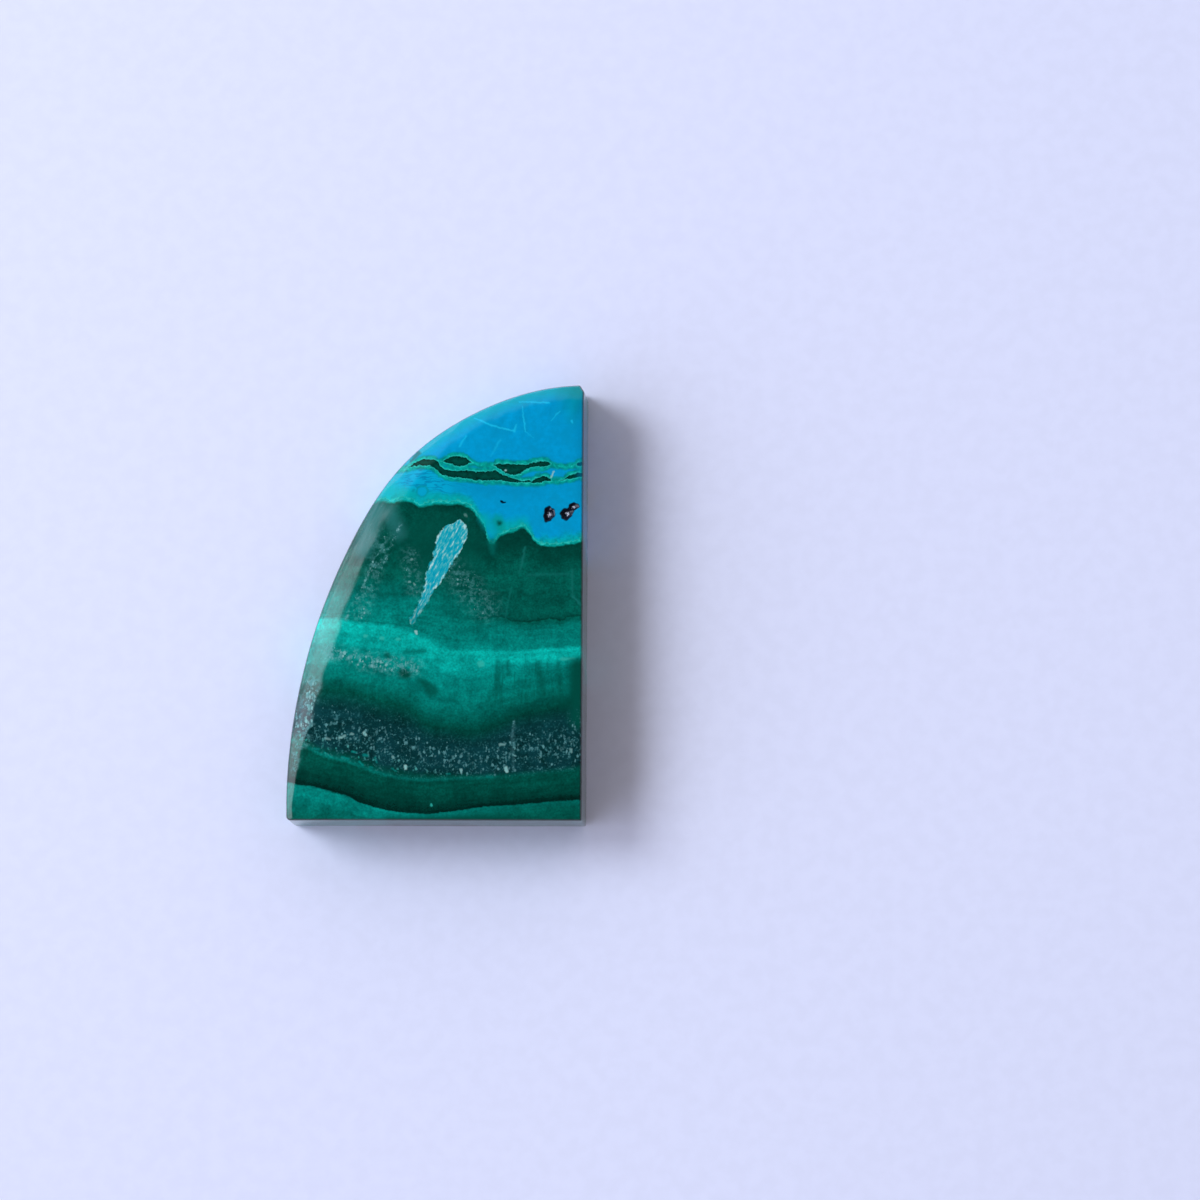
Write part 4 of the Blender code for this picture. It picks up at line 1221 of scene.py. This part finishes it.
class STONE_OT_set_stage(bpy.types.Operator):
    """Lay the paper, set the daylight and place the camera"""

    bl_idname = "stone.set_stage"
    bl_label = "Set the stage"

    def execute(self, context):
        scene = context.scene
        mesh = bpy.data.meshes.new("paper")
        half = PAPER_SIZE / 2
        corners = ((-half, -half, 0), (half, -half, 0), (half, half, 0), (-half, half, 0))
        mesh.from_pydata(corners, [], [(0, 1, 2, 3)])
        mesh.materials.append(paper_material(scene.stone_colours))
        paper = bpy.data.objects.new("paper", mesh)
        scene.collection.objects.link(paper)
        self.light_room(scene)
        self.place_camera(scene)
        return {"FINISHED"}

    def light_room(self, scene):
        """A bright window on one side, a dim room all round, and the dark of the camera overhead."""
        world = bpy.data.worlds.new("daylight from one side")
        scene.world = world
        world.use_nodes = True
        tree = world.node_tree
        background = tree.nodes["Background"]
        way = add(tree, "ShaderNodeTexCoord", output="Generated")
        left = add(tree, VECTOR_MATH, {0: way, 1: (-1.0, 0.0, 0.0)}, "Value", operation="DOT_PRODUCT")
        past_end = add(tree, VECTOR_MATH, {0: way, 1: WINDOW_END}, "Value", operation="DOT_PRODUCT")
        window = add(tree, RANGE, {"Value": left, "From Min": WINDOW_REACH[0],
                                   "From Max": WINDOW_REACH[1]}, **SOFT)
        before_end = add(tree, RANGE, {"Value": past_end, "From Min": WINDOW_END_REACH[0],
                                       "From Max": WINDOW_END_REACH[1]}, **SOFT)
        window = add(tree, MATH, {0: window, 1: before_end}, operation="MULTIPLY")
        upper_left = add(tree, VECTOR_MATH, {0: way, 1: UPPER_LEFT}, "Value", operation="DOT_PRODUCT")
        room = add(tree, RANGE, {"Value": upper_left, "From Min": ROOM_REACH[0], "From Max": ROOM_REACH[1],
                                 "To Min": ROOM_LIGHT[1], "To Max": ROOM_LIGHT[0]}, **SOFT)
        overhead = add(tree, VECTOR_MATH, {0: way, 1: OVERHEAD}, "Value", operation="DOT_PRODUCT")
        open_sky = add(tree, RANGE, {"Value": overhead, "From Min": OVERHEAD_REACH[0],
                                     "From Max": OVERHEAD_REACH[1], "To Min": OVERHEAD_SHADE}, **SOFT)
        room = add(tree, MATH, {0: room, 1: open_sky}, operation="MULTIPLY")
        ray = add(tree, "ShaderNodeLightPath").node.outputs
        mirrored = add(tree, RANGE, {"Value": ray["Is Glossy Ray"],
                                     "To Min": 1.0, "To Max": ROOM_IN_POLISH}, **PLAIN)
        room = add(tree, MATH, {0: room, 1: mirrored}, operation="MULTIPLY")
        room = add(tree, VECTOR_MATH, {0: ROOM_TINT, SCALE: room}, operation="SCALE")
        light = add(tree, MIX, {FACTOR: window, UNDER: room, OVER: (*WINDOW_LIGHT, 1.0)}, MIXED, **COLOURS)
        light = add(tree, MIX, {FACTOR: ray["Is Camera Ray"], UNDER: light, OVER: (*BACKDROP, 1.0)},
                    MIXED, **COLOURS)
        tree.links.new(light, background.inputs["Color"])
        daylight = bpy.data.lights.new("daylight", "AREA")
        daylight.shape = "DISK"
        daylight.size = DAYLIGHT_SIZE
        daylight.energy = DAYLIGHT_POWER
        lamp = bpy.data.objects.new("daylight", daylight)
        lamp.location = DAYLIGHT_PLACE
        lamp.rotation_euler = Vector(DAYLIGHT_PLACE).to_track_quat("Z", "Y").to_euler()
        lamp.visible_camera = False
        lamp.visible_glossy = False
        scene.collection.objects.link(lamp)

    def place_camera(self, scene):
        """A long lens over the stone, fitted to the photograph's outline of it."""
        lens = bpy.data.cameras.new("camera")
        lens.lens = CAMERA_LENS
        lens.sensor_width = CAMERA_SENSOR
        lens.clip_start, lens.clip_end = CAMERA_SIGHT
        camera = bpy.data.objects.new("camera", lens)
        camera.location = CAMERA_PLACE
        camera.rotation_mode = "ZYX"
        camera.rotation_euler = Euler(CAMERA_TILTS, "ZYX")
        scene.collection.objects.link(camera)
        scene.camera = camera
        scene.view_settings.view_transform = "Standard"


class STONE_PT_sidebar(bpy.types.Panel):
    """The stone's settings and the buttons that build it"""

    bl_label = "Chrysocolla cabochon"
    bl_idname = "STONE_PT_sidebar"
    bl_space_type = "VIEW_3D"
    bl_region_type = "UI"
    bl_category = "Stone"

    def draw(self, context):
        for group in (context.scene.stone_colours, context.scene.stone_finish):
            box = self.layout.box()
            for name in group.bl_rna.properties.keys():
                if name not in ("rna_type", "name"):
                    box.prop(group, name)
        self.layout.operator(STONE_OT_build_cabochon.bl_idname)
        self.layout.operator(STONE_OT_set_stage.bl_idname)


CLASSES = (StoneColours, StoneFinish, STONE_OT_build_cabochon, STONE_OT_set_stage, STONE_PT_sidebar)


def register():
    for part in CLASSES:
        bpy.utils.register_class(part)
    bpy.types.Scene.stone_colours = PointerProperty(type=StoneColours)
    bpy.types.Scene.stone_finish = PointerProperty(type=StoneFinish)


def unregister():
    del bpy.types.Scene.stone_finish
    del bpy.types.Scene.stone_colours
    for part in reversed(CLASSES):
        bpy.utils.unregister_class(part)


def main():
    register()
    bpy.ops.stone.build_cabochon()
    bpy.ops.stone.set_stage()


if __name__ == "__main__":
    main()
